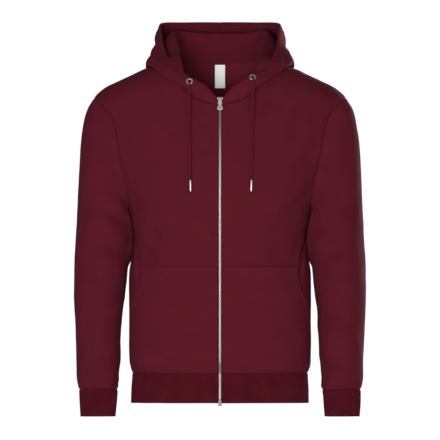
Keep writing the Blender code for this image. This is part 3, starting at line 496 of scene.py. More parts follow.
        upper[:, 0], upper[:, -1] = edge * (-1.0, 1.0, 1.0), edge
        upper[-1, ~in_neck, 1] = 0.0
        return np.concatenate([self.level_rows(Facing.BACK, low, 0.0, spread), upper])

    def sleeve(self, rows: Array, turns: Array) -> Array:
        """The left sleeve, from the armhole (row 0) down to the cuff seam (the last row).

        A section is an oval between its under side and its outer side. The armhole's own shape
        turns into the oval over the first rows.

        Args:
            rows: row numbers, whole or between.
            turns: angles round the sleeve from the underarm, forward first.

        Returns:
            Rows by columns of points.
        """
        front = turns <= math.pi + 1e-9
        loop = np.where(
            front[:, None],
            self.armhole(Facing.FRONT, math.pi - turns),
            self.armhole(Facing.BACK, turns - math.pi),
        )
        low = self.armhole(Facing.FRONT, np.array([math.pi]))[0]
        chord = self.armhole(Facing.FRONT, np.array([0.0]))[0] - low
        off_chord = np.array([chord[2], 0.0, -chord[0]]) / np.linalg.norm(chord)
        share = (loop - low) @ chord / (chord @ chord)
        bulge = (loop - low) @ off_chord
        reach = loop[:, 1] / ARMHOLE_FRONT
        table = np.array(SLEEVE)
        number = np.arange(1, len(table) + 1)
        shape = np.maximum(0.0, 1.0 - number / SLEEVE_SHAPE_ROWS)[:, None] ** 2
        inner = np.stack([table[:, 0], 0 * number, table[:, 1]], axis=1)
        outer = np.stack([table[:, 2], 0 * number, table[:, 3]], axis=1)
        out = unit(np.stack([outer[:, 2] - inner[:, 2], 0 * number, inner[:, 0] - outer[:, 0]], axis=1))
        along = (1 - np.cos(turns)) / 2 + shape * (share - (1 - np.cos(turns)) / 2)
        sideways = -np.sin(turns) + shape * (reach + np.sin(turns))
        sections = inner[:, None] + along[..., None] * (outer - inner)[:, None]
        sections = sections + (shape * bulge)[..., None] * out[:, None]
        sections[..., 1] += table[:, 5:6] + table[:, 4:5] * sideways
        sections = np.concatenate([loop[None], self.beside(sections, SLEEVE_CLEARANCE)])
        return self.resting(curve_through(np.arange(len(sections)), sections, rows))

    def beside(self, points: Array, clearance: float) -> Array:
        """Points moved out along X where they would lie inside the trunk's side.

        Args:
            points: points with x, y and z.
            clearance: the least gap between them and the side.

        Returns:
            The points, those inside moved.
        """
        x, y, z = np.moveaxis(points, -1, 0)
        width, front, back, power = self.section(z)
        depth = np.where(y < 0, front, back)
        body = width * np.clip(1.0 - (np.abs(y) / depth) ** power, 0.0, 1.0) ** (1.0 / power)
        moved = points.copy()
        moved[..., 0] = np.maximum(x, body + clearance)
        return moved

    def resting(self, points: Array) -> Array:
        """The sleeve's points drawn in to lie on the trunk's side under the arm.

        Points up to 3.5 mm away from the side move all the way to it, those from 9 mm on stay, and
        it all fades towards the place where sleeve and side part.

        Args:
            points: points of the sleeve.

        Returns:
            The points after the move.
        """
        x, z = points[..., 0], points[..., 2]
        gap = x - self.section(z)[0]
        under = smooth_step(*LIES_ON_SIDE_FROM, z) * smooth_step(*LIES_ON_SIDE_TO, z)
        drawn = (1 - smooth_step(*DRAWN_IN, gap)) * under * (gap > -SINK)
        moved = points.copy()
        moved[..., 0] -= (gap + SINK) * drawn
        return moved

    def neck_seam(self, count: int) -> Array:
        """Half the neck seam, from the zip over the shoulder to the middle of the back.

        Args:
            count: the number of points on the front half and on the back half.

        Returns:
            The seam's points.
        """
        shares = np.linspace(0.0, 1.0, count)
        front, back = self.neckline(Facing.FRONT, shares), self.neckline(Facing.BACK, shares)
        return np.concatenate([front, back[::-1][1:]])

    def hood(self, places: Array, rows: Array) -> Array:
        """The left half of the hood as it lies on the back.

        A smooth curve through the table's sections runs round the neck, and another through each
        section's points runs from the neck seam to the rim.

        Args:
            places: 0 at the zip, 1 at the middle of the back.
            rows: 0 at the neck seam, 1 at the rim.

        Returns:
            Rows by places of points.
        """
        seam = self.neck_seam(60)
        table = np.array(HOOD)
        stations, points = table[:, 0], table[:, 1:].reshape(len(table), -1, 3)
        start = at_lengths(seam, curve_through(stations, HOOD_FEET, places) * lengths_along(seam)[-1])
        stations = np.concatenate([stations, [2 - stations[-2]]])
        points = np.concatenate([points, [points[-2] * (-1.0, 1.0, 1.0)]])
        passes = curve_through(stations, points, places)
        control = np.concatenate([start[:, None], passes], axis=1).transpose(1, 0, 2)
        dense = np.linspace(0.0, 1.0, HOOD_ROWS)
        sheet = curve_through(HOOD_PLACES, control, dense)
        for _ in range(HOOD_SMOOTHINGS):
            sheet[1:-1] = 0.25 * sheet[:-2] + 0.5 * sheet[1:-1] + 0.25 * sheet[2:]
        sheet = curve_through(dense, sheet, rows)
        from_seam = np.clip(rows / HOOD_FLAT_AT_SEAM, 0.0, 1.0)
        from_zip = np.clip(places / HOOD_FLAT_AT_ZIP, 0.0, 1.0)
        return self.clear(sheet, HOOD_CLEARANCE * from_seam[:, None] * from_zip)


FORM = BodyForm()


# ------------------------------------------------------------------ grids of cloth


def raised(grid: Array, normals: Array, height: Array) -> Array:
    """The grid moved out by a height at each point."""
    return grid + normals * height[..., None]


def closed(grid: Array) -> Array:
    """A grid that runs round, with its first column again at the end."""
    return np.concatenate([grid, grid[:, :1]], axis=1)


def grid_normals(grid: Array, around: bool = False) -> Array:
    """Directions square to a grid: the steps along its rows crossed with those down its columns.

    Args:
        grid: rows by columns of points.
        around: the last column joins the first.

    Returns:
        A direction of length one for each point.
    """
    if around:
        across = np.roll(grid, -1, axis=1) - np.roll(grid, 1, axis=1)
    else:
        across = np.gradient(grid, axis=1)
    return unit(np.cross(across, np.gradient(grid, axis=0)))


@dataclass(frozen=True)
class EdgeDistances:
    """How far every point of a grid is from each of its four edges, along the cloth."""

    first_row: Array
    last_row: Array
    first_column: Array
    last_column: Array

    @staticmethod
    def of(grid: Array) -> "EdgeDistances":
        """The distances walked along the grid's rows and columns from each edge.

        Args:
            grid: rows by columns of points.

        Returns:
            Four grids of distances.
        """
        down = lengths_along(grid)
        along = lengths_along(grid.swapaxes(0, 1)).swapaxes(0, 1)
        return EdgeDistances(down, down[-1:] - down, along, along[:, -1:] - along)

    def to(self, edge: Edge) -> Array:
        """The distances to one edge."""
        return getattr(self, edge.name.lower())

    def flat(self) -> Array:
        """The cloth's own coordinates: distances along the rows and down the columns."""
        return np.stack([self.first_column, self.first_row], axis=-1)


def inset_line(grid: Array, normals: Array, edge: Edge, distance: float) -> tuple[Array, Array]:
    """A line on a grid that keeps a distance from one edge, and the directions square to it.

    Between the two grid lines on either side of the distance, points and directions are mixed.

    Args:
        grid: rows by columns of points.
        normals: the grid's outward directions.
        edge: the edge that the line follows.
        distance: how far from the edge, along the cloth.

    Returns:
        The line's points and their normals.
    """
    away = EdgeDistances.of(grid).to(edge)
    if edge in (Edge.FIRST_ROW, Edge.LAST_ROW):
        grid, normals, away = (part.swapaxes(0, 1) for part in (grid, normals, away))
    if edge in (Edge.LAST_ROW, Edge.LAST_COLUMN):
        grid, normals, away = (part[:, ::-1] for part in (grid, normals, away))
    index = np.clip((away < distance).sum(axis=1), 1, away.shape[1] - 1)[:, None]
    before, after = (np.take_along_axis(away, place, axis=1) for place in (index - 1, index))
    share = np.clip((distance - before) / np.maximum(after - before, 1e-9), 0.0, 1.0)[..., None]
    mixed = []
    for values in (grid, normals):
        low, high = (np.take_along_axis(values, place[..., None], axis=1) for place in (index - 1, index))
        mixed.append((low + (high - low) * share)[:, 0])
    return mixed[0], unit(mixed[1])


@dataclass(frozen=True)
class Crease:
    """A soft crease: its width, its depth (a ridge if negative) and the places its line passes."""

    width: float
    depth: float
    line: Route
    sides: float = 0.35


def creases(*rows: tuple[float, ...]) -> tuple[Crease, ...]:
    """Creases from rows of a width, a depth and the line's pairs of numbers."""
    return tuple(Crease(width, depth, tuple(zip(line[::2], line[1::2]))) for width, depth, *line in rows)


def crease_relief(grid: Array, folds: Iterable[Crease], place: Callable[[Array], Array]) -> Array:
    """Heights that creases give a grid.

    Across a crease the height is a bell-shaped trough with a lower bell on each side, and along
    it the depth fades to nothing at both ends.

    Args:
        grid: rows by columns of points.
        folds: the creases.
        place: turns the pairs of numbers of a crease's line into points in space.

    Returns:
        A height for each grid point, in metres.
    """
    steps = 32
    relief = np.zeros(grid.shape[:2])
    for crease in folds:
        passes = place(np.array(crease.line, float))
        fine = curve_through(np.linspace(0, 1, len(passes)), passes, np.linspace(0, 1, steps))
        gaps = np.linalg.norm(grid[..., None, :] - fine, axis=-1)
        near = gaps.argmin(axis=-1) / (steps - 1)
        across = gaps.min(axis=-1) / crease.width
        fade = np.sin(math.pi * near) ** 0.8
        bell = np.exp(-(across**2)) - crease.sides * np.exp(-(((across - 1.9) / 0.9) ** 2))
        relief -= crease.depth * fade * bell
    return relief


def seam_valley(distance: Array, depth: float = 0.0013, width: float = 0.0022) -> Array:
    """The dip of cloth that rolls into a seam or a turned edge."""
    return -depth * np.exp(-((distance / width) ** 2))


def swells(points: Array, seed: int, slow: Pair, fine: Pair) -> Array:
    """Slow unevenness with a finer one on top, each a pair of a height and a wave's length."""
    return slow[0] * wandering(points, slow[1], seed) + fine[0] * wandering(points, fine[1], seed + 1)


def gathers(along: Array, distance: Array, seed: int, depth: float, reach: float, pitch: float) -> Array:
    """Short uneven puckers that run square out of a seam and die away from it.

    Args:
        along: distance along the seam.
        distance: distance from the seam.
        seed: makes each seam different.
        depth: height of the puckers at the seam.
        reach: how far they run before they fade.
        pitch: their typical spacing.

    Returns:
        A height for each point.
    """
    fan = np.stack([along, 0.22 * distance], axis=-1)
    waves = wandering(fan, pitch, seed) + 0.5 * wandering(fan, pitch * 2.3, seed + 1)
    return depth * waves * np.exp(-distance / reach) * (1 - np.exp(-distance / 0.0035))


# ------------------------------------------------------------------ meshes


def finish_mesh(name: str, mesh: bpy.types.Mesh, sharp_degrees: float = 40.0) -> bpy.types.Object:
    """Turn a mesh's faces outward, shade it smooth and put it into an object at the origin.

    Args:
        name: the object's name.
        mesh: the finished mesh.
        sharp_degrees: edges with a sharper turn than this stay sharp.

    Returns:
        The object.
    """
    work = bmesh.new()
    work.from_mesh(mesh)
    bmesh.ops.recalc_face_normals(work, faces=work.faces)
    work.to_mesh(mesh)
    work.free()
    mesh.shade_smooth()
    mesh.set_sharp_from_angle(angle=math.radians(sharp_degrees))
    piece = bpy.data.objects.new(name, mesh)
    bpy.context.scene.collection.objects.link(piece)
    return piece


def grid_faces(rows: int, columns: int, wrap_rows: bool, wrap_columns: bool) -> tuple[Array, Array]:
    """Quads of a grid.

    Args:
        rows: the number of rows.
        columns: the number of columns.
        wrap_rows: the last row joins the first.
        wrap_columns: the last column joins the first.

    Returns:
        The quads, and for each corner its place in a grid that has the wrapped lines again.
    """
    i, j = np.meshgrid(
        np.arange(rows if wrap_rows else rows - 1),
        np.arange(columns if wrap_columns else columns - 1),
        indexing="ij",
    )
    corners_i = np.stack([i, i, i + 1, i + 1], axis=-1).reshape(-1, 4)
    corners_j = np.stack([j, j + 1, j + 1, j], axis=-1).reshape(-1, 4)
    quads = (corners_i % rows) * columns + corners_j % columns
    return quads, np.stack([corners_i, corners_j], axis=-1)


def copies(faces: Iterable[Iterable[int]], count: int, size: int, first: int = 0) -> list[Face]:
    """One block's faces again for each of a count of blocks of size points, from point number first."""
    starts = range(first, first + count * size, size)
    return [tuple(int(corner) + start for corner in face) for start in starts for face in faces]


def cloth_mesh(name: str, points: Array, faces: list[Face], places: Array, flat: Array) -> bpy.types.Mesh:
    """A mesh whose UVs are the cloth's own coordinates.

    Args:
        name: the mesh's name.
        points: a grid of points.
        faces: its quads first, then other faces, which have no UVs.
        places: the row and column of each corner of the quads.
        flat: the cloth's coordinates at each row and column.

    Returns:
        The mesh.
    """
    mesh = bpy.data.meshes.new(name)
    mesh.from_pydata(points.reshape(-1, 3), [], faces)
    uv = np.zeros((len(mesh.loops), 2))
    uv[: len(places) * 4] = flat[places[..., 0], places[..., 1]].reshape(-1, 2)
    mesh.uv_layers.new(name="cloth").data.foreach_set("uv", uv.ravel())
    return mesh


def grid_piece(name: str, grid: Array, ring: bool = False, sharp_degrees: float = 40.0) -> bpy.types.Object:
    """A tube from one grid of points that closes along its columns.

    Args:
        name: the piece's name.
        grid: rows by columns of points.
        ring: the rows close as well; if not, both ends have a cap.
        sharp_degrees: edges with a sharper turn than this stay sharp.

    Returns:
        The piece.
    """
    rows, columns = grid.shape[:2]
    quads, places = grid_faces(rows, columns, ring, True)
    faces = [tuple(quad) for quad in quads]
    if not ring:
        index = np.arange(rows * columns).reshape(rows, columns)
        faces += [tuple(index[0]), tuple(index[-1][::-1])]
    whole = closed(np.concatenate([grid, grid[:1]]) if ring else grid)
    mesh = cloth_mesh(name, grid, faces, places, EdgeDistances.of(whole).flat())
    return finish_mesh(name, mesh, sharp_degrees)


def rounded_rim(from_edge: Array, to_edge: Array, away: Array) -> Array:
    """Half a turn of points from one skin's edge to the other's.

    Args:
        from_edge: the first skin's edge.
        to_edge: the other skin's edge.
        away: directions out of the cloth, in which the rim bulges.

    Returns:
        The rows of the rim between the two edges.
    """
    middle, arm = (from_edge + to_edge) / 2, (from_edge - to_edge) / 2
    reach = unit(away) * np.linalg.norm(arm, axis=-1, keepdims=True)
    turn = np.radians([40.0, 90.0, 140.0])[:, None, None]
    return middle + np.cos(turn) * arm + np.sin(turn) * reach


def wall_piece(
    name: str,
    outer: Array,
    inner: Array,
    around: bool = False,
    rounded: Edge | None = None,
    flat: Array | None = None,
) -> bpy.types.Object:
    """A cloth wall: two skins joined along every edge, in one closed body.

    The skins and the strips along the first and last rows are one grid that closes on itself.
    Where the wall isn't a tube, its two sides are closed with strips as well.

    Args:
        name: the piece's name.
        outer: rows by columns of the outer face.
        inner: the same points on the inner face.
        around: the last column joins the first, as on a sleeve.
        rounded: the first or last row, if that one has a rounded rim.
        flat: the cloth's own coordinates along and up the knit, if not the distances from the
            first row and column; a tube has its first column again at the end.

    Returns:
        The piece, with material slot 0 on the outer face and slot 1 on the inner one.
    """
    rows, columns = outer.shape[:2]
    high = low = np.zeros((0, columns, 3))
    if rounded is Edge.LAST_ROW:
        high = rounded_rim(outer[-1], inner[-1], outer[-1] - outer[-2])
    if rounded is Edge.FIRST_ROW:
        low = rounded_rim(inner[0], outer[0], outer[0] - outer[1])
    loop = np.concatenate([outer, high, inner[::-1], low])
    quads, places = grid_faces(len(loop), columns, True, around)
    faces = [tuple(quad) for quad in quads]
    index = np.arange(len(loop) * columns).reshape(len(loop), columns)
    back, end = rows + len(high), 2 * rows + len(high)
    skin_out, skin_in = index[:rows], index[back:end][::-1]
    for side in () if around else (0, -1):
        strip = [skin_out[:-1, side], skin_out[1:, side], skin_in[1:, side], skin_in[:-1, side]]
        faces += [tuple(quad) for quad in np.stack(strip, axis=1)]
        if len(high):
            faces.append(tuple(index[rows - 1 : back + 1, side]))
        if len(low):
            faces.append((*index[end - 1 :, side], index[0, side]))
    if flat is None:
        flat = EdgeDistances.of(closed(outer) if around else outer).flat()
    tucks = np.arange(1, 4)[:, None, None] * (0.0, 0.0008)
    flat_high, flat_low = flat[-1] + tucks[: len(high)], flat[0] - tucks[: len(low)][::-1]
    flat = np.concatenate([flat, flat_high, flat[::-1], flat_low, flat[:1]])
    mesh = cloth_mesh(name, loop, faces, places, flat)
    slots = np.zeros(len(mesh.polygons), int)
    slots[: len(quads)] = (places[:, 0, 0] >= back - 1) & (places[:, 0, 0] < end - 1)
    mesh.polygons.foreach_set("material_index", slots)
    return finish_mesh(name, mesh)


def tube(route: Array, radii: Array, turns: int, twist: Twist | None = None) -> Array:
    """A round section carried along a route without twisting.

    Args:
        route: points of the middle line.
        radii: the tube's radius at each point.
        turns: points round the section.
        twist: optional factor on the radius for (angle, length along).

    Returns:
        Route points by turns of points.
    """
    tangents = unit(np.gradient(route, axis=0))
    side = np.zeros_like(route)
    side[0] = unit(np.cross(tangents[0], (0.0, 0.0, 1.0) if abs(tangents[0][2]) < 0.9 else (1.0, 0.0, 0.0)))
    for step in range(1, len(route)):
        carried = side[step - 1] - tangents[step] * (side[step - 1] @ tangents[step])
        side[step] = carried / np.linalg.norm(carried)
    up = np.cross(tangents, side)
    angle = 2 * math.pi * np.arange(turns) / turns
    spread = radii[:, None] * np.ones(turns)
    if twist is not None:
        spread = spread * twist(angle[None], lengths_along(route)[:, None])
    arms = np.cos(angle)[None, :, None] * side[:, None] + np.sin(angle)[None, :, None] * up[:, None]
    return route[:, None] + spread[..., None] * arms


# ------------------------------------------------------------------ threads


@dataclass(frozen=True)
class Seamstress:
    """Sews rows of stitches: a short bowed thread, repeated along a line."""

    pitch: float = 0.0034
    length: float = 0.0027
    radius: float = 0.00038
    proud: float = 0.00004
    step: float = 0.0004

    def template(self) -> tuple[Array, list[Face]]:
        """One stitch: four rings of five points along it, dipping into the cloth at both ends.

        Returns:
            Its points and faces.
        """
        along = np.array([-0.5, -0.3, 0.3, 0.5]) * self.length
        thick = (np.array([0.35, 1.0, 1.0, 0.35]) * self.radius)[:, None]
        height = np.array([-0.9, 0.0, 0.0, -0.9]) * self.radius + self.proud
        turn = 2 * math.pi * np.arange(5) / 5
        rings = [np.repeat(along, 5), (thick * np.cos(turn)).ravel()]
        points = np.stack([*rings, (height[:, None] + thick * np.sin(turn)).ravel()], axis=1)
        quads = grid_faces(4, 5, False, True)[0]
        return points, [*map(tuple, quads), (4, 3, 2, 1, 0), (15, 16, 17, 18, 19)]

    def sew(self, lines: Iterable[tuple[Array, Array]]) -> tuple[Array, list[Face]]:
        """Stitches along lines.

        Args:
            lines: pairs of points and outward directions.

        Returns:
            Points and faces of all the stitches.
        """
        template, faces = self.template()
        places, frames = [], []
        for points, normals in lines:
            along = lengths_along(points)
            count = max(1, int(along[-1] / self.pitch))
            middle = (np.arange(count) + 0.5) * along[-1] / count
            tangent = unit(at_lengths(points, middle + self.step) - at_lengths(points, middle - self.step))
            outward = read_along(along, normals, middle)
            outward = unit(outward - tangent * (outward * tangent).sum(axis=1, keepdims=True))
            places.append(at_lengths(points, middle))
            frames.append(np.stack([tangent, np.cross(outward, tangent), outward], axis=1))
        place = np.concatenate(places)
        points = place[:, None] + np.einsum("pk,nkc->npc", template, np.concatenate(frames))
        return points.reshape(-1, 3), copies(faces, len(place), len(template))


def stitch_piece(node: str, lines: Iterable[tuple[Array, Array]]) -> None:
    """Make the stitches of a piece, in thread, along lines on its cloth.

    Args:
        node: the piece's name.
        lines: pairs of points and outward directions.
    """
    points, faces = Seamstress().sew(lines)
    mesh = bpy.data.meshes.new("stitches_" + node)
    mesh.from_pydata(points, [], faces)
    place_piece(finish_mesh("stitches_" + node, mesh, 80.0), (Finish.THREAD,))


# ------------------------------------------------------------------ finishes


class Finish(Enum):
    """The finishes that the pieces take."""

    FLEECE_FACE = "fleece_face"
    FLEECE_BACK = "fleece_back"
    RIB_KNIT = "rib_knit"
    TAPE = "woven_tape"
    ZIP_TAPE = "zip_tape"
    LABEL = "label_satin"
    THREAD = "sewing_thread"
    BRAID = "braided_cord"
    EYELET_HOLE = "eyelet_hole"
    NICKEL = "bright_nickel"
    TOOTH = "zip_tooth_metal"
    SLIDER = "cast_slider_metal"
    BOX = "zip_box_metal"
    CHAIN_CORE = "zip_chain_core"


FLEECE_FINISH = (Finish.FLEECE_FACE, Finish.FLEECE_BACK)


class Painter:
    """Adds shader nodes to a tree and joins them up."""

    def __init__(self, tree: bpy.types.NodeTree) -> None:
        """Work on one node tree."""
        self.tree = tree

    def fill(self, node: bpy.types.Node, inputs: dict) -> None:
        """Give a node its inputs.

        Args:
            node: the node.
            inputs: a value or an output socket for each input, by name or number.
        """
        for key, value in inputs.items():
            if isinstance(value, bpy.types.NodeSocket):
                self.tree.links.new(value, node.inputs[key])
            else:
                node.inputs[key].default_value = value

    def add(self, kind: str, inputs: dict | None = None, **settings: object) -> bpy.types.Node:
        """Add a node.

        Args:
            kind: the node's type without the ShaderNode prefix.
            inputs: a value or an output socket for each input, by name or number.
            settings: the node's own properties.

        Returns:
            The node.
        """
        node = self.tree.nodes.new("ShaderNode" + kind)
        for key, value in settings.items():
            setattr(node, key, value)
        self.fill(node, inputs or {})
        return node

    def math(self, operation: str, *values: Socket | float) -> Socket:
        """The result of a Math node on numbers or sockets."""
        return self.add("Math", dict(enumerate(values)), operation=operation).outputs[0]

    def ramp(self, factor: Socket, low: Triple, high: Triple) -> Socket:
        """A colour between two by a factor."""
        colours = {0: factor, 6: (*low, 1.0), 7: (*high, 1.0)}
        return self.add("Mix", colours, data_type="RGBA", clamp_factor=True).outputs[2]

    def group(self, tree: bpy.types.NodeTree, vector: Socket, sizes: dict[str, float]) -> bpy.types.Node:
        """A shared group on a vector, with its own values.

        Args:
            tree: the group's node tree.
            vector: the coordinates it works on.
            sizes: its number inputs.

        Returns:
            The group's node.
        """
        node = self.tree.nodes.new("ShaderNodeGroup")
        node.node_tree = tree
        self.fill(node, {"Vector": vector, **sizes})
        return node


def shader_group(inputs: dict[str, float], build: Callable) -> bpy.types.NodeTree:
    """A shader group that takes a vector and numbers, and gives a height and a shade.

    Args:
        inputs: number inputs and their defaults.
        build: called with a painter and the group's input node; returns height and shade sockets,
            and gives the group its name.

    Returns:
        The group's node tree.
    """
    tree = bpy.data.node_groups.new(build.__name__, "ShaderNodeTree")
    tree.interface.new_socket("Vector", in_out="INPUT", socket_type="NodeSocketVector")
    for label, default in inputs.items():
        socket = tree.interface.new_socket(label, in_out="INPUT", socket_type="NodeSocketFloat")
        socket.default_value = default
    for label in ("Height", "Shade"):
        tree.interface.new_socket(label, in_out="OUTPUT", socket_type="NodeSocketFloat")
    start, end = tree.nodes.new("NodeGroupInput"), tree.nodes.new("NodeGroupOutput")
    height, shade = build(Painter(tree), start)
    tree.links.new(height, end.inputs["Height"])
    tree.links.new(shade, end.inputs["Shade"])
    return tree


def knit_loops(paint: Painter, start: bpy.types.Node) -> tuple[Socket, Socket]:
    """Rows of V-shaped loops: two legs a wale, slanted opposite ways, each leg a rounded ridge.

    Args:
        paint: the group's painter.
        start: the group's input node, with Wale and Course in metres.

    Returns:
        The height, and a shade that paints the dips between the loops darker.
    """
    flat = paint.add("SeparateXYZ", {0: start.outputs["Vector"]})
    wale = paint.math("DIVIDE", flat.outputs[0], start.outputs["Wale"])
    course = paint.math("DIVIDE", flat.outputs[1], start.outputs["Course"])
    zigzag = paint.math("PINGPONG", wale, 0.5)
    slant = paint.math("MULTIPLY_ADD", zigzag, 1.3, course)
    leg = paint.math("ABSOLUTE", paint.math("SINE", paint.math("MULTIPLY", wale, 2 * math.pi)))
    beat = paint.math("SINE", paint.math("MULTIPLY", slant, 2 * math.pi))
    loop = paint.math("MULTIPLY_ADD", beat, 0.35, leg)
    height = paint.math("MULTIPLY_ADD", loop, 0.7, 0.1)
    # The shade follows the height: painted shade, darker in the dips between the loops.
    return height, paint.math("MULTIPLY_ADD", height, 0.5, 0.4)


def rib_knit(paint: Painter, start: bpy.types.Node) -> tuple[Socket, Socket]:
    """Knit loops with painted shade, darker in the grooves between the ribs.

    Args:
        paint: the group's painter.
        start: the group's input node, with Wale, Course and Rib in metres.

    Returns:
        The height, and a shade with painted shade in the loops' dips and the ribs' grooves.
    """
    height, shade = knit_loops(paint, start)
    flat = paint.add("SeparateXYZ", {0: start.outputs["Vector"]})
    turn = paint.math("MULTIPLY", paint.math("DIVIDE", flat.outputs[0], start.outputs["Rib"]), math.pi)
    # crown is 1 on a rib and 0 in a groove: it paints shade into the grooves.
    crown = paint.math("ABSOLUTE", paint.math("COSINE", turn))
    return height, paint.math("MULTIPLY_ADD", crown, 0.9, paint.math("MULTIPLY_ADD", shade, 0.6, -0.55))


def loose_fibres(paint: Painter, start: bpy.types.Node) -> tuple[Socket, Socket]:
    """Fine fuzz over slow patches: two noises, one of fibre size and one of a hand's size.

    Args:
        paint: the group's painter.
        start: the group's input node, with Fibre scale and Patch scale.

    Returns:
        The height and shade.
    """
    vector = start.outputs["Vector"]
    fine = {"Scale": start.outputs["Fibre scale"], "Detail": 4.0, "Roughness": 0.65}
    slow = {"Scale": start.outputs["Patch scale"], "Detail": 3.0, "Roughness": 0.5}
    fibres, patches = (paint.add("TexNoise", {"Vector": vector, **look}).outputs[0] for look in (fine, slow))
    return fibres, paint.math("MULTIPLY_ADD", fibres, 0.45, paint.math("MULTIPLY", patches, 0.55))


def woven_threads(paint: Painter, start: bpy.types.Node) -> tuple[Socket, Socket]:
    """A plain weave: two sets of rounded threads that cross, each over and under the other.

    Args:
        paint: the group's painter.
        start: the group's input node, with Thread in metres.

    Returns:
        The height, and the same as a shade: painted shade where a thread dips under the other.
    """
    flat = paint.add("SeparateXYZ", {0: start.outputs["Vector"]})
    waves = []
    for axis in (0, 1):
        turns = paint.math("DIVIDE", flat.outputs[axis], start.outputs["Thread"])
        waves.append(paint.math("SINE", paint.math("MULTIPLY", turns, math.pi)))
    height = paint.math("MULTIPLY_ADD", paint.math("MULTIPLY", *waves), 0.5, 0.5)
    # The shade is the height: painted shade where the threads dip.
    return height, height


def worn_metal(paint: Painter, start: bpy.types.Node) -> tuple[Socket, Socket]:
    """Faint marks of handling: stretched noise for scratches over cloudy patches.

    Args:
        paint: the group's painter.
        start: the group's input node, with Mark scale.

    Returns:
        The height and shade.
    """
    vector = start.outputs["Vector"]
    stretched = paint.add("Mapping", {"Vector": vector, "Scale": (1.0, 1.0, 0.15)}).outputs[0]
    marks = {"Vector": stretched, "Scale": start.outputs["Mark scale"], "Detail": 5.0, "Roughness": 0.7}
    scratches = paint.add("TexNoise", marks).outputs[0]
    clouds = paint.add("TexNoise", {"Vector": vector, "Scale": 140.0, "Detail": 2.0}).outputs[0]
    return scratches, paint.math("MULTIPLY_ADD", scratches, 0.5, paint.math("MULTIPLY", clouds, 0.5))


@dataclass(frozen=True)
class ClothLook:
    """A cloth finish: two shades of its dye, its surface pattern, its fuzz and its painted glow, white light
    it gives off to lift it out of shade.
    """

    dark: Triple
    light: Triple
    group: str
    sizes: dict[str, float]
    relief: float
    fuzz: float
    sheen: float
    roughness: float = 0.95
    # Painted glow: how strongly the cloth gives off white light, though it is no lamp.
    whitener: float = 0.0


@dataclass(frozen=True)
class MetalLook:
    """A metal finish: its colour, and how rough it is at its cleanest and at its most handled."""

    colour: Triple
    clean: float
    handled: float


def woven(dark: Triple, light: Triple, thread: float, relief: float, fuzz: float, *rest: float) -> ClothLook:
    """A woven finish with threads of one thickness."""
    return ClothLook(dark, light, "woven_threads", {"Thread": thread}, relief, fuzz, *rest)


LOOKS: dict[Finish, ClothLook | MetalLook] = {
    Finish.FLEECE_FACE: ClothLook(
        (0.089, 0.0068, 0.0157), (0.139, 0.0134, 0.0266), "knit_loops",
        {"Wale": 0.0013, "Course": 0.001}, 0.00022, 0.0003, 0.05
    ),
    # The inside face's colours are about one and a half times the outer face's: painted light that lifts the
    # inside of the back, seen in shade through the neck opening. Its coarser fuzz is the brushed inside.
    Finish.FLEECE_BACK: ClothLook(
        (0.142, 0.012, 0.0255), (0.208, 0.0222, 0.042), "knit_loops",
        {"Wale": 0.0019, "Course": 0.0015}, 0.0002, 0.0006, 0.06
    ),
    Finish.RIB_KNIT: ClothLook(
        (0.057, 0.0038, 0.0088), (0.119, 0.0098, 0.0197), "rib_knit",
        {"Wale": 0.001, "Course": 0.001, "Rib": 0.003}, 0.00018, 0.00024, 0.04
    ),
    Finish.TAPE: woven((0.095, 0.0085, 0.0175), (0.15, 0.017, 0.03), 0.0007, 0.00016, 0.0001, 0.05),
    Finish.ZIP_TAPE: woven((0.06, 0.005, 0.011), (0.1, 0.0095, 0.019), 0.0006, 0.00014, 0.00008, 0.08),
    # The label's last number is a painted glow: white light that lifts it out of the shade inside the neck.
    Finish.LABEL: woven((0.9, 0.9, 0.89), (0.97, 0.97, 0.965), 0.0004, 0.00005, 0.00003, 0.0, 0.7, 0.2),
    Finish.THREAD: woven((0.118, 0.0125, 0.025), (0.16, 0.021, 0.037), 0.0003, 0.00004, 0.00003, 0.1, 0.75),
    Finish.BRAID: woven((0.072, 0.0055, 0.013), (0.125, 0.012, 0.024), 0.0005, 0.00008, 0.00008, 0.12, 0.85),
    # Near-black cloth for the disc inside each eyelet: painted shadow in the hole.
    Finish.EYELET_HOLE: woven((0.01, 0.001, 0.002), (0.018, 0.0018, 0.0034), 0.0006, 0.00004, 0.00004, 0.0),
    Finish.CHAIN_CORE: woven((0.06, 0.005, 0.011), (0.1, 0.0095, 0.019), 0.0006, 0.00014, 0.00008, 0.05),
    Finish.NICKEL: MetalLook((0.8, 0.77, 0.75), 0.26, 0.42),
    # Grey metal with a pink cast: the grey is the metal's own, the pink cast is painted reflection of the
    # burgundy cloth around it.
    Finish.TOOTH: MetalLook((0.43, 0.36, 0.36), 0.36, 0.52),
    Finish.SLIDER: MetalLook((0.8, 0.75, 0.74), 0.38, 0.52),
    # Darker box metal with the same painted pink cast of reflected cloth.
    Finish.BOX: MetalLook((0.27, 0.23, 0.23), 0.5, 0.62),
}


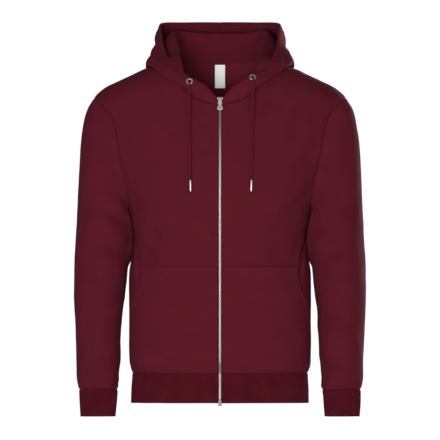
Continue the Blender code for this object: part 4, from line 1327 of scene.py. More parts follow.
class Wardrobe:
    """Makes each finish once, and dresses pieces in it."""

    def __init__(self) -> None:
        """Build the shared groups; materials are made when they are first asked for."""
        kinds = {
            knit_loops: {"Wale": 0.0013, "Course": 0.001},
            rib_knit: {"Wale": 0.0011, "Course": 0.001, "Rib": 0.003},
            loose_fibres: {"Fibre scale": 1400.0, "Patch scale": 26.0},
            woven_threads: {"Thread": 0.0006},
            worn_metal: {"Mark scale": 900.0},
        }
        self.groups = {kind.__name__: shader_group(sizes, kind) for kind, sizes in kinds.items()}
        self.made: dict[Finish, bpy.types.Material] = {}

    def cloth(self, paint: Painter, look: ClothLook) -> dict:
        """A cloth: dye that varies in patches, the painted shade of its knitted or woven relief, that relief
        under fuzz, sheen, and a painted glow where its look has one.

        Args:
            paint: the material's painter.
            look: the finish.

        Returns:
            The shader's inputs.
        """
        flat = paint.add("UVMap", uv_map="cloth").outputs[0]
        place = paint.add("TexCoord").outputs["Object"]
        pattern = paint.group(self.groups[look.group], flat, look.sizes).outputs
        fibres = paint.group(self.groups["loose_fibres"], place, {}).outputs
        patches = paint.math("MULTIPLY_ADD", fibres["Shade"], 1.3, -0.3)
        # The tone is random patches plus the pattern's painted shade in its dips.
        tone = paint.math("MULTIPLY_ADD", pattern["Shade"], 0.35, patches)
        relief = {"Height": pattern["Height"], "Distance": look.relief, "Strength": 1.0}
        fuzz = {"Height": fibres["Height"], "Distance": look.fuzz, "Strength": 0.8}
        fuzz["Normal"] = paint.add("Bump", relief).outputs[0]
        return {
            "Base Color": paint.ramp(tone, look.dark, look.light),
            "Normal": paint.add("Bump", fuzz).outputs[0],
            "Roughness": look.roughness,
            "Specular IOR Level": 0.05,
            "Sheen Weight": look.sheen,
            "Sheen Roughness": 0.45,
            "Sheen Tint": (0.9, 0.25, 0.32, 1.0),
            # Painted glow: white light given off by the cloth itself, to lift it out of shade.
            "Emission Strength": look.whitener,
        }

    def metal(self, paint: Painter, look: MetalLook) -> dict:
        """A plated metal: rougher where it has been handled, with faint scratches.

        Args:
            paint: the material's painter.
            look: the finish.

        Returns:
            The shader's inputs.
        """
        place = paint.add("TexCoord").outputs["Object"]
        marks = paint.group(self.groups["worn_metal"], place, {}).outputs
        dull = tuple(0.82 * channel for channel in look.colour)
        scratches = {"Height": marks["Height"], "Distance": 0.00003, "Strength": 0.5}
        return {
            "Base Color": paint.ramp(marks["Shade"], dull, look.colour),
            "Roughness": paint.math("MULTIPLY_ADD", marks["Shade"], look.handled - look.clean, look.clean),
            "Normal": paint.add("Bump", scratches).outputs[0],
            "Metallic": 1.0,
        }

    def material(self, finish: Finish) -> bpy.types.Material:
        """The material of a finish, made when it is first asked for.

        Args:
            finish: the finish.

        Returns:
            Its material.
        """
        if finish not in self.made:
            material = self.made[finish] = bpy.data.materials.new(finish.value)
            material.use_nodes = True
            paint, look = Painter(material.node_tree), LOOKS[finish]
            make = self.cloth if isinstance(look, ClothLook) else self.metal
            paint.fill(material.node_tree.nodes["Principled BSDF"], make(paint, look))
        return self.made[finish]

    def dress(self, piece: bpy.types.Object, *finishes: Finish) -> None:
        """Give a piece its finishes.

        Args:
            piece: the piece.
            finishes: one for each of its material slots; the last one serves any slots after it.
        """
        keep = np.zeros(len(piece.data.polygons), int)
        piece.data.polygons.foreach_get("material_index", keep)
        piece.data.materials.clear()
        for finish in finishes:
            piece.data.materials.append(self.material(finish))
        piece.data.polygons.foreach_set("material_index", np.minimum(keep, len(finishes) - 1))


WARDROBE = Wardrobe()


def place_piece(
    piece: bpy.types.Object, finishes: tuple[Finish, ...], replaces: str = "", body: str = GARMENT
) -> bpy.types.Object:
    """Dress a finished piece and put it on its body.

    Args:
        piece: the piece.
        finishes: a finish for each of its material slots.
        replaces: the solid it stands for, if any.
        body: the body it rides on.

    Returns:
        The piece.
    """
    WARDROBE.dress(piece, *finishes)
    if replaces:
        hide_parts(replaces)
    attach(piece, body)
    LOG.info("%s: %d faces", piece.name, len(piece.data.polygons))
    return piece


@dataclass(frozen=True)
class Cloth:
    """A sheet of cloth: what it is made of, the flat size of its cut and how the garment holds it."""

    finishes: tuple[Finish, ...]
    slot: str
    width: float
    length: float
    held: str = "hung"

    def build(
        self,
        node: str,
        outer: Array,
        inner: Array,
        rests_on: tuple[str, ...],
        kind: str = "cloth",
        **shape: object,
    ) -> None:
        """Args:
            node: the solid that it stands for.
            outer: rows by columns of the outer face.
            inner: the same points on the inner face.
            rests_on: the pieces that it lies on; not used.
            kind: the first word of the piece's name.
            shape: what else wall_piece takes.
        """
        piece = wall_piece(f"{kind}_{node}", outer, inner, **shape)
        place_piece(piece, self.finishes, node)


def straight_grain(grid: Array) -> Array:
    """The knit's coordinates on a body panel: along each row from the middle, and up front or back.

    Args:
        grid: rows by columns of points.

    Returns:
        Two coordinates in metres for each point.
    """
    middle = np.abs(grid[..., 0]).argmin(axis=1)
    along = lengths_along(grid.swapaxes(0, 1)).swapaxes(0, 1)
    rows = np.arange(len(grid))
    along = along - along[rows, middle][:, None] + grid[rows, middle, 0][:, None]
    return np.stack([along, lengths_along(grid[..., 1:])], axis=-1)


def mirrored(points: Array, hand: Hand) -> Array:
    """The left side's points, or the same on the right side."""
    return points * np.array([float(hand.value), 1.0, 1.0])


# ------------------------------------------------------------------ fronts and back


def panel_rows(low: int, high: int) -> tuple[Array, Array]:
    """Rows up to the underarm, close together at the hem, and rows above it that end at the shoulder."""
    return spacing(low, SIDE_SEAM, close_at_end=False)[:-1], 1 - (1 - np.linspace(0.0, 1.0, high)) ** 1.7


def open_side(z: Array) -> Array:
    """1 at heights where the side seam shows, 0 where the sleeve lies against it."""
    return 1 - smooth_step(*HIDDEN_FROM, z) * smooth_step(*HIDDEN_TO, z)


@dataclass(frozen=True)
class PanelSurface:
    """How a body panel's cloth stands off the form: its slow and fine swells, and its puckers."""

    slow: Pair
    fine: Pair
    puckers: Triple

    def heights(
        self,
        grid: Array,
        away: EdgeDistances,
        folds: tuple[Crease, ...],
        facing: Facing,
        waves: Array,
        seed: int,
    ) -> Array:
        """Heights before the seams: all fades towards the edges, and nothing stands out in the armpit.

        Args:
            grid: rows by columns of points.
            away: the grid's distances from its edges.
            folds: the panel's creases.
            facing: the front or the back half.
            waves: the points that the swells are read at.
            seed: makes each panel different.

        Returns:
            A height for each point.
        """
        height = crease_relief(grid, folds, FORM.face(facing)) + swells(waves, seed, self.slow, self.fine)
        height *= 0.2 + 0.8 * smooth_step(0.0, 0.014, away.first_row)
        height += gathers(away.first_column, away.first_row, seed + 2, *self.puckers)
        if facing is Facing.FRONT:
            height += 0.0008 * wandering(waves[..., 2:], 0.06, seed + 3) * np.exp(-away.first_column / 0.014)
        sides = np.minimum(away.first_column, away.last_column)
        height *= 0.35 + 0.65 * (1 - np.exp(-((sides / 0.012) ** 2)))
        armpit = smooth_step(*ARMPIT_FROM, grid[..., 2]) * smooth_step(*ARMPIT_OUT, np.abs(grid[..., 0]))
        return np.where(height > 0, height * (1 - armpit), height)


@dataclass(frozen=True)
class FrontPanel:
    """One front: from the zip to the side seam and armhole, and from the waistband to the shoulder."""

    hand: Hand
    folds: tuple[Crease, ...]
    rows_low: int = 96
    rows_high: int = 84
    columns: int = 84
    width_on_form: float = 0.245
    cloth: Cloth = Cloth(FLEECE_FINISH, "fleece", 0.262, 0.69)
    surface: PanelSurface = PanelSurface((0.002, 0.11), (0.0006, 0.034), (0.0016, 0.022, 0.02))
    waist_seam: Pair = (0.0016, 0.003)
    armhole_seam: Pair = (0.002, 0.0028)
    shoulder_seam: Pair = (0.0014, 0.0026)
    zip_edge: Pair = (0.0007, 0.0012)
    zip_stitches: float = 0.0075
    armhole_stitches: float = 0.0072
    hem_stitches: float = 0.0028

    def grid(self) -> Array:
        """Rows by columns of points, closer together at the seams."""
        low, rise = panel_rows(self.rows_low, self.rows_high)
        return FORM.front(np.concatenate([low, 1 + rise]), spacing(self.columns, self.width_on_form))

    def relief(self, grid: Array) -> Array:
        """Heights of the creases, the slow unevenness, the puckers and the rolled seams.

        Args:
            grid: rows by columns of points.

        Returns:
            A height for each point, none above the form under the pocket.
        """
        away, z = EdgeDistances.of(grid), grid[..., 2]
        waves = mirrored(grid, self.hand)
        height = self.surface.heights(grid, away, self.folds, Facing.FRONT, waves, self.hand.choose(10, 40))
        sewn = smooth_step(*ARMHOLE_SEWN_FROM, z)
        height += seam_valley(away.last_column, *self.armhole_seam) * sewn
        side = seam_valley(away.last_column) * open_side(z) * (1 - sewn)
        height += side + seam_valley(away.first_row, *self.waist_seam)
        height += seam_valley(away.first_column, *self.zip_edge)
        height += seam_valley(away.last_row, *self.shoulder_seam)
        pocket = (z < POCKET_TOP_Z + 0.004) & (grid[..., 0] < 0.19)
        return np.where(pocket, np.minimum(height, 0.0), height)

    def build(self) -> None:
        """Make the panel and stitch it along the zip, armhole and waistband."""
        grid = self.grid()
        normals = FORM.outward(grid)
        outer = mirrored(raised(grid, normals, self.relief(grid)), self.hand)
        normals = mirrored(normals, self.hand)
        node = "front_" + self.hand.word
        self.cloth.build(node, outer, outer - normals * FLEECE, ("back",), flat=straight_grain(grid))
        above = slice(self.rows_low + 4, None)
        stitch_piece(node, [
            inset_line(outer, normals, Edge.FIRST_COLUMN, self.zip_stitches),
            inset_line(outer[above], normals[above], Edge.LAST_COLUMN, self.armhole_stitches),
            inset_line(outer, normals, Edge.FIRST_ROW, self.hem_stitches),
        ])


@dataclass(frozen=True)
class BackPanel:
    """The back, in one piece from side seam to side seam."""

    folds: tuple[Crease, ...]
    rows_low: int = 84
    rows_high: int = 76
    columns_shoulder: int = 56
    columns_neck: int = 38
    shoulder_on_form: float = 0.17
    neck_starts: float = 0.372
    cloth: Cloth = Cloth(FLEECE_FINISH, "fleece", 0.545, 0.7)
    surface: PanelSurface = PanelSurface((0.0022, 0.12), (0.0006, 0.036), (0.0017, 0.024, 0.021))
    waist_seam: Pair = (0.0016, 0.003)
    shoulder_seam: Pair = (0.001, 0.002)
    armhole_stitches: float = 0.0072
    hem_stitches: float = 0.0028
    shoulder_stitches: float = 0.0025

    def build(self) -> None:
        """Make the panel and stitch it along the armholes, waistband and shoulders."""
        low, rise = panel_rows(self.rows_low, self.rows_high)
        shoulder = spacing(self.columns_shoulder, self.shoulder_on_form, close_at_end=False)
        shoulder = shoulder * self.neck_starts
        neck = np.linspace(self.neck_starts, 1 - self.neck_starts, self.columns_neck)[1:-1]
        grid = FORM.back(low, rise, np.concatenate([shoulder, neck, 1 - shoulder[::-1]]), self.neck_starts)
        normals = FORM.outward(grid)
        away = EdgeDistances.of(grid)
        height = self.surface.heights(grid, away, self.folds, Facing.BACK, grid, 71)
        sides = np.minimum(away.first_column, away.last_column)
        height += seam_valley(sides) * open_side(grid[..., 2]) + seam_valley(away.first_row, *self.waist_seam)
        height += seam_valley(away.last_row, *self.shoulder_seam)
        outer = raised(grid, normals, height)
        rests_on = ("front_right", "front_left")
        self.cloth.build("back", outer, outer - normals * FLEECE, rests_on, flat=straight_grain(grid))
        above = slice(self.rows_low + 4, None)
        lines = [
            inset_line(outer[above], normals[above], edge, self.armhole_stitches)
            for edge in (Edge.FIRST_COLUMN, Edge.LAST_COLUMN)
        ]
        lines.append(inset_line(outer, normals, Edge.FIRST_ROW, self.hem_stitches))
        for side in (slice(None, len(shoulder) - 3), slice(3 - len(shoulder), None)):
            lines.append(inset_line(outer[:, side], normals[:, side], Edge.LAST_ROW, self.shoulder_stitches))
        stitch_piece("back", lines)


# ------------------------------------------------------------------ sleeves and ribs


@dataclass(frozen=True)
class Sleeve:
    """One sleeve, from the armhole to the cuff seam; creases are given by angle and row."""

    hand: Hand
    folds: tuple[Crease, ...]
    rows: int = 168
    columns: int = 124
    length_on_form: float = 0.5
    cloth: Cloth = Cloth(FLEECE_FINISH, "fleece", 0.5, 0.64)
    slow: Pair = (0.002, 0.09)
    fine: Pair = (0.0007, 0.032)
    puckers: Triple = (0.0022, 0.03, 0.017)
    armhole_seam: Pair = (0.0008, 0.0022)
    cuff_seam: Pair = (0.0016, 0.003)
    cuff_stitches: float = 0.0028

    def place(self, line: Array) -> Array:
        """Points on the sleeve at pairs of an angle in degrees from the underarm and a row number."""
        pairs = zip(line[:, 1:], np.radians(line[:, :1] % 360.0))
        return np.array([FORM.sleeve(row, turn)[0, 0] for row, turn in pairs])

    def build(self) -> None:
        """Make the sleeve, its folds and its stitches."""
        rows = len(SLEEVE) * spacing(self.rows, self.length_on_form) ** 0.96
        turns = 2 * math.pi * np.arange(self.columns) / self.columns
        grid = FORM.sleeve(rows, turns)
        normals = -grid_normals(grid, around=True)
        normals[0] = FORM.outward(grid[0])
        down = lengths_along(grid)
        up = down[-1:] - down
        seed = self.hand.choose(110, 140)
        height = crease_relief(grid, self.folds, self.place) + swells(grid, seed, self.slow, self.fine)
        round_seam = np.cumsum(np.linalg.norm(np.roll(grid, 1, axis=1) - grid, axis=-1), axis=1)
        height += gathers(round_seam, up, seed + 2, *self.puckers)
        height *= 1 - np.exp(-((down / 0.016) ** 2))
        height *= 1 - 0.6 * np.exp(-(((turns - math.pi) / 0.6) ** 2))
        height *= 1 - smooth_step(0.012, 0.004, np.abs(grid[..., 0]) - FORM.section(grid[..., 2])[0])
        height += seam_valley(down, *self.armhole_seam) + seam_valley(up, *self.cuff_seam)
        outer = mirrored(raised(grid, normals, height), self.hand)
        normals = mirrored(normals, self.hand)
        node, rests_on = "sleeve_" + self.hand.word, ("front_" + self.hand.word, "back")
        self.cloth.build(node, outer, outer - normals * FLEECE, rests_on, around=True)
        stitch_piece(node, [inset_line(closed(outer), closed(normals), Edge.LAST_ROW, self.cuff_stitches)])


def rib_profile(along: Array, pitch: float) -> Array:
    """The height of a one by one rib, from 0 in a groove to 1 on a rib, with round shoulders."""
    return np.abs(np.cos(math.pi * along / pitch)) ** 0.7


@dataclass(frozen=True)
class Waistband:
    """The ribbed band, folded at the hem, from one side of the zip round to the other."""

    folds: tuple[Crease, ...]
    pitch: float = 0.003
    relief: float = 0.0008
    points_per_rib: int = 6
    rows: int = 11
    middle_row: int = 5
    swell: Pair = (0.0008, 0.09)
    seam: Pair = (0.0034, 0.003)
    cloth: Cloth = Cloth((Finish.RIB_KNIT,), "rib", 0.98, 0.063)

    def half(self, turn: Array, z: Array) -> Array:
        """Points of the band's left half on the form.

        Args:
            turn: 0 at the zip, 1 at the side, 2 in the middle of the back.
            z: heights.

        Returns:
            Heights by turns of points.
        """
        is_front = turn <= 1
        spread = np.sin(np.where(is_front, turn, 2 - turn) * math.pi / 2)
        width = FORM.section(z)[0][:, None]
        level = np.broadcast_to(z[:, None], (len(z), len(turn)))
        front = FORM.lift(ZIP_EDGE + (width - ZIP_EDGE) * spread, level, Facing.FRONT)
        return np.where(is_front[None, :, None], front, FORM.lift(width * spread, level, Facing.BACK))

    def build(self) -> None:
        """Make the band with its ribs and creases."""
        turns = np.linspace(0.0, 2.0, 399)
        walked = lengths_along(self.half(turns, np.array([BAND_SEAM_Z]))[0])
        steps = round(walked[-1] / self.pitch) * self.points_per_rib
        turn = np.interp(np.linspace(0.0, walked[-1], steps + 1), walked, turns)
        between = np.linspace(HEM_Z + 0.004, BAND_SEAM_Z - 0.004, self.rows)
        z = np.array([HEM_Z + 0.0012, *between, BAND_SEAM_Z - 0.0018, BAND_SEAM_Z, BAND_SEAM_Z + 0.0022])
        grid = self.half(turn, z)
        grid = np.concatenate([mirrored(grid, Hand.RIGHT), grid[:, ::-1][:, 1:]], axis=1)
        normals = FORM.outward(grid)
        normals[:, steps, 0] = 0.0
        normals = unit(normals)
        away = EdgeDistances.of(grid)
        along = np.broadcast_to(away.first_column[self.middle_row], grid.shape[:2])
        height = self.relief * (rib_profile(along, self.pitch) - 1)
        height = height + self.swell[0] * wandering(grid, self.swell[1], 201)
        height += crease_relief(grid, self.folds, FORM.face(Facing.FRONT))
        height += seam_valley(away.last_row, *self.seam)
        skins = raised(grid, normals, height), raised(grid, normals, 0.4 * height - RIB)
        flat = np.stack([along, away.first_row], axis=-1)
        rests_on = ("front_right", "front_left", "back")
        self.cloth.build("waistband", *skins, rests_on, "rib", rounded=Edge.FIRST_ROW, flat=flat)


@dataclass(frozen=True)
class Cuff:
    """One ribbed cuff, folded at its open end."""

    hand: Hand
    pitch: float = 0.003
    relief: float = 0.0008
    ribs: int = 66
    points_per_rib: int = 6
    half_section: Pair = (0.039, 0.032)
    swell: Pair = (0.0009, 0.05)
    seam: Pair = (0.003, 0.0028)
    cloth: Cloth = Cloth((Finish.RIB_KNIT,), "rib", 0.215, 0.057)

    def build(self) -> None:
        """Make the cuff."""
        table = np.array(CUFF)
        z = np.array([-0.6685, -0.6706, -0.6725, -0.675, *np.linspace(-0.679, -0.7235, 10), -0.7262])
        sections = curve_through(-table[:, 2], table[:, [0, 1, 3, 4]], -z)
        in_x, out_x, half_depth, middle_y = np.moveaxis(sections, -1, 0)[..., None]
        fine = np.linspace(0.0, 2 * math.pi, 721)
        along = lengths_along(np.stack([np.cos(fine), np.sin(fine)], axis=1) * self.half_section)
        count = self.ribs * self.points_per_rib
        turn = np.interp(np.arange(count) / count * along[-1], along, fine)
        x = in_x + (out_x - in_x) * (1 - np.cos(turn)) / 2
        y = middle_y - half_depth * np.sin(turn)
        grid = np.stack(np.broadcast_arrays(x, y, z[:, None]), axis=-1)
        normals = -grid_normals(grid, around=True)
        ribs = self.relief * (rib_profile(np.arange(count) / self.points_per_rib, 1.0) - 1)
        down = lengths_along(grid)
        height = ribs + self.swell[0] * wandering(grid, self.swell[1], self.hand.choose(301, 331))
        height += seam_valley(down, *self.seam)
        skins = (mirrored(raised(grid, normals, part), self.hand) for part in (height, 0.4 * height - RIB))
        along = self.pitch * np.arange(count + 1) / self.points_per_rib
        flat = np.stack([along + 0 * down[:, :1], down[:, :1] + 0 * along], axis=-1)
        word = self.hand.word
        shape = {"around": True, "rounded": Edge.LAST_ROW, "flat": flat}
        self.cloth.build("cuff_" + word, *skins, ("sleeve_" + word,), "rib", **shape)


# ------------------------------------------------------------------ hood


@dataclass(frozen=True)
class HoodHalf:
    """Half the hood, lying back off the head, with the casing for the cord turned in at its rim."""

    hand: Hand
    folds: tuple[Crease, ...]
    casing: float = 0.0255
    casing_step: float = 0.0017
    columns: int = 96
    rows_low: int = 64
    rows_high: int = 40
    fold: float = 0.77
    slow: Pair = (0.0013, 0.075)
    fine: Pair = (0.0005, 0.03)
    centre_seam: Pair = (0.0011, 0.002)
    neck_seam: Pair = (0.0012, 0.0026)
    casing_seam: Pair = (0.0006, 0.0016)
    cloth: Cloth = Cloth((Finish.FLEECE_FACE, Finish.FLEECE_FACE), "fleece", 0.35, 0.36, "folded")
    stitches: float = 0.003

    def build(self) -> None:
        """Make the half with its casing and stitches."""
        places = spacing(self.columns, 0.33)
        low = spacing(self.rows_low, 0.3, close_at_end=False)[:-1] * self.fold
        rows = np.array([*low, *np.linspace(self.fold, 0.985, self.rows_high), 0.992, 0.997, 1.0])
        grid = FORM.hood(places, rows)
        normals = grid_normals(grid)
        normals[:, -1, 0] = 0.0
        normals = unit(normals)
        both = ((0, places), (1, rows))

        def on_grid(line: Array) -> Array:
            """Points of the grid nearest to pairs of a place and a row."""
            column, row = (np.abs(known - line[:, i, None]).argmin(axis=1) for i, known in both)
            return grid[row, column]

        away = EdgeDistances.of(grid)
        height = crease_relief(grid, self.folds, on_grid)
        height += swells(grid, self.hand.choose(401, 441), self.slow, self.fine)
        height *= 1 - np.exp(-((away.first_row / 0.01) ** 2))
        height *= 1 - 0.8 * np.exp(-((away.last_row / 0.008) ** 2))
        height *= smooth_step(0.0, 0.03, away.first_column)
        height += seam_valley(away.last_column, *self.centre_seam)
        height += seam_valley(away.first_row, *self.neck_seam)
        local_casing = np.minimum(self.casing, 0.82 * lengths_along(grid)[-1:])
        channel = smooth_step(1.06, 0.94, away.last_row / local_casing)
        height += 0.0006 * channel * smooth_step(0.0, 0.004, away.last_row)
        height += seam_valley(away.last_row - local_casing, *self.casing_seam)
        outer = raised(grid, normals, height)
        inner = raised(outer, normals, -(FLEECE + self.casing_step * channel))
        outer[:, -1, 0] = inner[:, -1, 0] = -0.00005
        outer, inner, normals = (mirrored(part, self.hand) for part in (outer, inner, normals))
        node = "hood_" + self.hand.word
        self.cloth.build(node, outer, inner, ("back", "front_" + self.hand.word), rounded=Edge.LAST_ROW)
        lines = []
        for skin, facing in ((outer, normals), (inner, -normals)):
            lines.append(inset_line(skin[:, 6:], facing[:, 6:], Edge.LAST_ROW, self.casing - 0.002))
            lines.append(inset_line(skin, facing, Edge.LAST_COLUMN, self.stitches))
        for edge in (Edge.FIRST_ROW, Edge.FIRST_COLUMN):
            lines.append(inset_line(outer, normals, edge, self.stitches))
        stitch_piece(node, lines)


# ------------------------------------------------------------------ pockets


@dataclass(frozen=True)
class Pocket:
    """Half the pouch pocket: a flat patch with a hemmed top and a slanted, hemmed hand edge."""

    hand: Hand
    folds: tuple[Crease, ...]
    lip: float = 0.003
    margin: float = 0.002
    stand: float = 0.0003
    rows: int = 76
    columns: int = 72
    slow: Pair = (0.0012, 0.085)
    fine: Pair = (0.0005, 0.03)
    puckers: Triple = (0.0014, 0.02, 0.019)
    hem: float = 0.008
    hem_seam: Pair = (0.0005, 0.0014)
    waist_seam: Pair = (0.0018, 0.003)
    free_edge: Pair = (0.0009, 0.0014)
    zip_edge: Pair = (0.0007, 0.0014)
    cloth: Cloth = Cloth(FLEECE_FINISH, "fleece", 0.215, 0.222)
    top_stitches: Pair = (0.002, 0.0078)
    hand_stitches: Pair = (0.0022, 0.0078)
    zip_stitches: float = 0.005
    hand_edge_from: float = -0.495
    hand_edge: Route = (
        (-0.64, 0.188), (-0.56, 0.1885), (-0.52, 0.1885), (-0.504, 0.1868),
        (-0.482, 0.1768), (-0.46, 0.168), (-0.436, 0.163), (-0.4137, 0.1603),
    )

    def build(self) -> None:
        """Make the patch and its stitches."""
        rows, columns = spacing(self.rows, 0.222), spacing(self.columns, 0.18)
        z = BAND_SEAM_Z + 0.0003 + (POCKET_TOP_Z - 0.0002 - BAND_SEAM_Z) * rows
        width = FORM.section(z)[0]
        edge = np.array(self.hand_edge)
        out_x = np.minimum(curve_through(edge[:, 0], edge[:, 1], z), 0.978 * width)
        reach = np.arcsin((out_x - ZIP_EDGE) / (width - ZIP_EDGE))
        begin = np.arcsin(self.margin / (width - ZIP_EDGE))
        turn = begin[:, None] + (reach - begin)[:, None] * columns
        x = ZIP_EDGE + (width - ZIP_EDGE)[:, None] * np.sin(turn)
        grid = FORM.lift(x, np.broadcast_to(z[:, None], x.shape), Facing.FRONT)
        normals = FORM.outward(grid)
        away = EdgeDistances.of(grid)
        share = np.arcsin(np.clip(x / width[:, None], 0, 1)) / (0.9 * math.pi / 2)
        free = np.sin(np.clip(rows, 0, 1) * math.pi)[:, None] ** 0.7 * smooth_step(-0.525, -0.48, z)[:, None]
        stand = self.stand + self.lip * np.clip(share, 0, 1) ** 3 * free + FLEECE
        seed = self.hand.choose(501, 531)
        height = crease_relief(grid, self.folds, FORM.face(Facing.FRONT))
        height += swells(mirrored(grid, self.hand), seed, self.slow, self.fine)
        height += gathers(away.first_column, away.first_row, seed + 2, *self.puckers)
        edges = np.minimum(np.minimum(away.first_column, away.last_column), away.last_row)
        height = np.maximum(height, -0.0012) * (0.25 + 0.75 * smooth_step(0.0, 0.015, edges)) + 0.0006
        hems = away.last_row, away.last_column
        top_hem, hand_hem = (smooth_step(self.hem + 0.0015, self.hem, part) for part in hems)
        hand_hem = hand_hem * smooth_step(-0.52, -0.5, grid[..., 2])
        height += 0.0007 * np.clip(top_hem + hand_hem, 0.0, 1.0)
        height += seam_valley(np.minimum(*hems), *self.free_edge)
        height += sum(seam_valley(part - self.hem, *self.hem_seam) for part in hems)
        height += seam_valley(away.first_row, *self.waist_seam)
        height += seam_valley(away.first_column, *self.zip_edge)
        outer = mirrored(raised(grid, normals, stand + height), self.hand)
        inner = mirrored(raised(grid, normals, stand - FLEECE), self.hand)
        normals = mirrored(normals, self.hand)
        node = "pocket_" + self.hand.word
        self.cloth.build(node, outer, inner, ("front_" + self.hand.word,), rounded=Edge.LAST_ROW)
        lines = [inset_line(outer, normals, Edge.LAST_ROW, distance) for distance in self.top_stitches]
        hand_edge = z > self.hand_edge_from
        for distance in self.hand_stitches:
            lines.append(inset_line(outer[hand_edge], normals[hand_edge], Edge.LAST_COLUMN, distance))
        lines.append(inset_line(outer, normals, Edge.FIRST_COLUMN, self.zip_stitches))
        stitch_piece(node, lines)


# ------------------------------------------------------------------ neck


@dataclass(frozen=True)
class NeckTrim:
    """The tape inside the back neck seam and the bare label that hangs from it."""

    tape: Cloth = Cloth((Finish.TAPE,), "tape", 0.165, 0.01, "stretched")
    tape_width: float = 0.0046
    tape_drop: float = 0.0006
    tape_thickness: float = 0.001
    off_seam: float = FLEECE + 0.0007
    stitches: float = 0.0009
    label: Cloth = Cloth((Finish.LABEL,), "label", 0.021, 0.049)
    label_thickness: float = 0.0008
    lean: float = math.radians(8)

    def build(self) -> None:
        """Make the tape with its two rows of stitches, and the label."""
        seam = FORM.neckline(Facing.BACK, np.linspace(0.0, 0.75, 40))
        seam = np.concatenate([mirrored(seam, Hand.RIGHT)[:0:-1], seam])
        inward = unit(-seam * (1.0, 1.0, 0.0))
        width = self.tape_width
        down = np.array([0.0, 0.0003, 0.0008, *np.linspace(0.0012, width - 0.0008, 5), width - 0.0003, width])
        top = seam + inward * self.off_seam - (0.0, 0.0, self.tape_drop)
        drop = down[:, None, None] * (0.0, 0.0, -1.0)
        crown = 0.0003 * np.sin(math.pi * down / width)[:, None, None]
        front = (top + inward * self.tape_thickness) + drop + inward * crown
        self.tape.build("neck_tape", front, top + drop, ("back",), "woven")
        facing = np.broadcast_to(inward, front.shape)
        edges = (Edge.FIRST_ROW, Edge.LAST_ROW)
        stitch_piece("neck_tape", [inset_line(front, facing, edge, self.stitches) for edge in edges])
        self.build_label()

    def build_label(self) -> None:
        """A folded strip of satin, sewn in at its top, that hangs a little away from the back."""
        _, neck_y, neck_z = FORM.neckline(Facing.BACK, np.zeros(1))[0]
        top_y = neck_y - self.off_seam - self.tape_thickness / 2
        top_z = neck_z - self.tape_drop - self.tape_width - 0.0003
        across = spacing(12, self.label.width) - 0.5
        down = spacing(30, self.label.length)[:, None]
        length = self.label.length * down
        curl = 0.001 * np.sin(math.pi * down) * np.cos(math.pi * across) - 0.0006 * down**2
        y = top_y + length * math.sin(self.lean) + curl
        x, z = self.label.width * across, top_z - length * math.cos(self.lean)
        face = np.stack(np.broadcast_arrays(x, y, z), axis=-1)
        back = face + (0.0, self.label_thickness, 0.0)
        self.label.build("neck_label", face, back, ("neck_tape",), "satin", rounded=Edge.LAST_ROW)


# ------------------------------------------------------------------ plates and blocks


def cushion(outline: Array, levels: Route) -> Array:
    """Rings of a plate with soft edges: its outline drawn in by a distance at each depth.

    Args:
        outline: x and z of the plate's edge.
        levels: pairs of how far the edge is drawn in and the ring's y.

    Returns:
        Levels by outline points of points.
    """
    inset, depth = np.array(levels).T[:, :, None]
    middle = outline.mean(axis=0)
    arm = outline - middle
    reach = np.linalg.norm(arm, axis=1)
    flat = middle + arm * np.clip((reach - inset) / reach, 0.03, 1.0)[..., None]
    return np.stack(np.broadcast_arrays(flat[..., 0], depth, flat[..., 1]), axis=-1)


def rounded_outline(corners: Array, count: int = 72, radius: float = 0.0011) -> Array:
    """A closed outline through corners, each cut by a smooth arc, in even steps.

    Args:
        corners: x and z of the corners in order.
        count: points in the result.
        radius: how far from each corner the arc starts.

    Returns:
        The outline's points.
    """
    back, ahead = np.roll(corners, 1, axis=0) - corners, np.roll(corners, -1, axis=0) - corners
    room = 0.45 * np.minimum(np.linalg.norm(back, axis=1), np.linalg.norm(ahead, axis=1))
    cut = np.minimum(radius, room)[:, None]
    start, end = corners + unit(back) * cut, corners + unit(ahead) * cut
    t = np.linspace(0.0, 1.0, 7)[None, :, None]
    arcs = (1 - t) ** 2 * start[:, None] + 2 * t * (1 - t) * corners[:, None] + t**2 * end[:, None]
    loop = arcs.reshape(-1, 2)
    loop = np.concatenate([loop, loop[:1]])
    return at_lengths(loop, np.linspace(0.0, lengths_along(loop)[-1], count, endpoint=False))


def rounded_block(name: str, size: Triple, middle: Array, radius: float) -> bpy.types.Object:
    """A block whose section is a squared oval that shrinks in at both ends.

    Args:
        name: the piece's name.
        size: width, thickness and height.
        middle: its middle.
        radius: how far its ends are rounded.

    Returns:
        The piece.
    """
    turn = 2 * math.pi * np.arange(28) / 28
    wave = np.stack([np.cos(turn), np.sin(turn)], axis=1)
    ring = np.sign(wave) * np.abs(wave) ** 0.32 * size[:2] / 2
    rise = np.array([0.0, 0.02, 0.12, 0.3, 1.0]) * radius - size[2] / 2
    inset = np.array([1.2, 0.6, 0.3, 0.15, 0.0]) * radius
    rise, inset = np.concatenate([rise, -rise[::-1]]), np.concatenate([inset, inset[::-1]])
    x, y = np.moveaxis(ring * (1 - 2 * inset[:, None, None] / size[:2]), -1, 0)
    return grid_piece(name, np.stack([x, y, np.broadcast_to(rise[:, None], x.shape)], axis=-1) + middle)


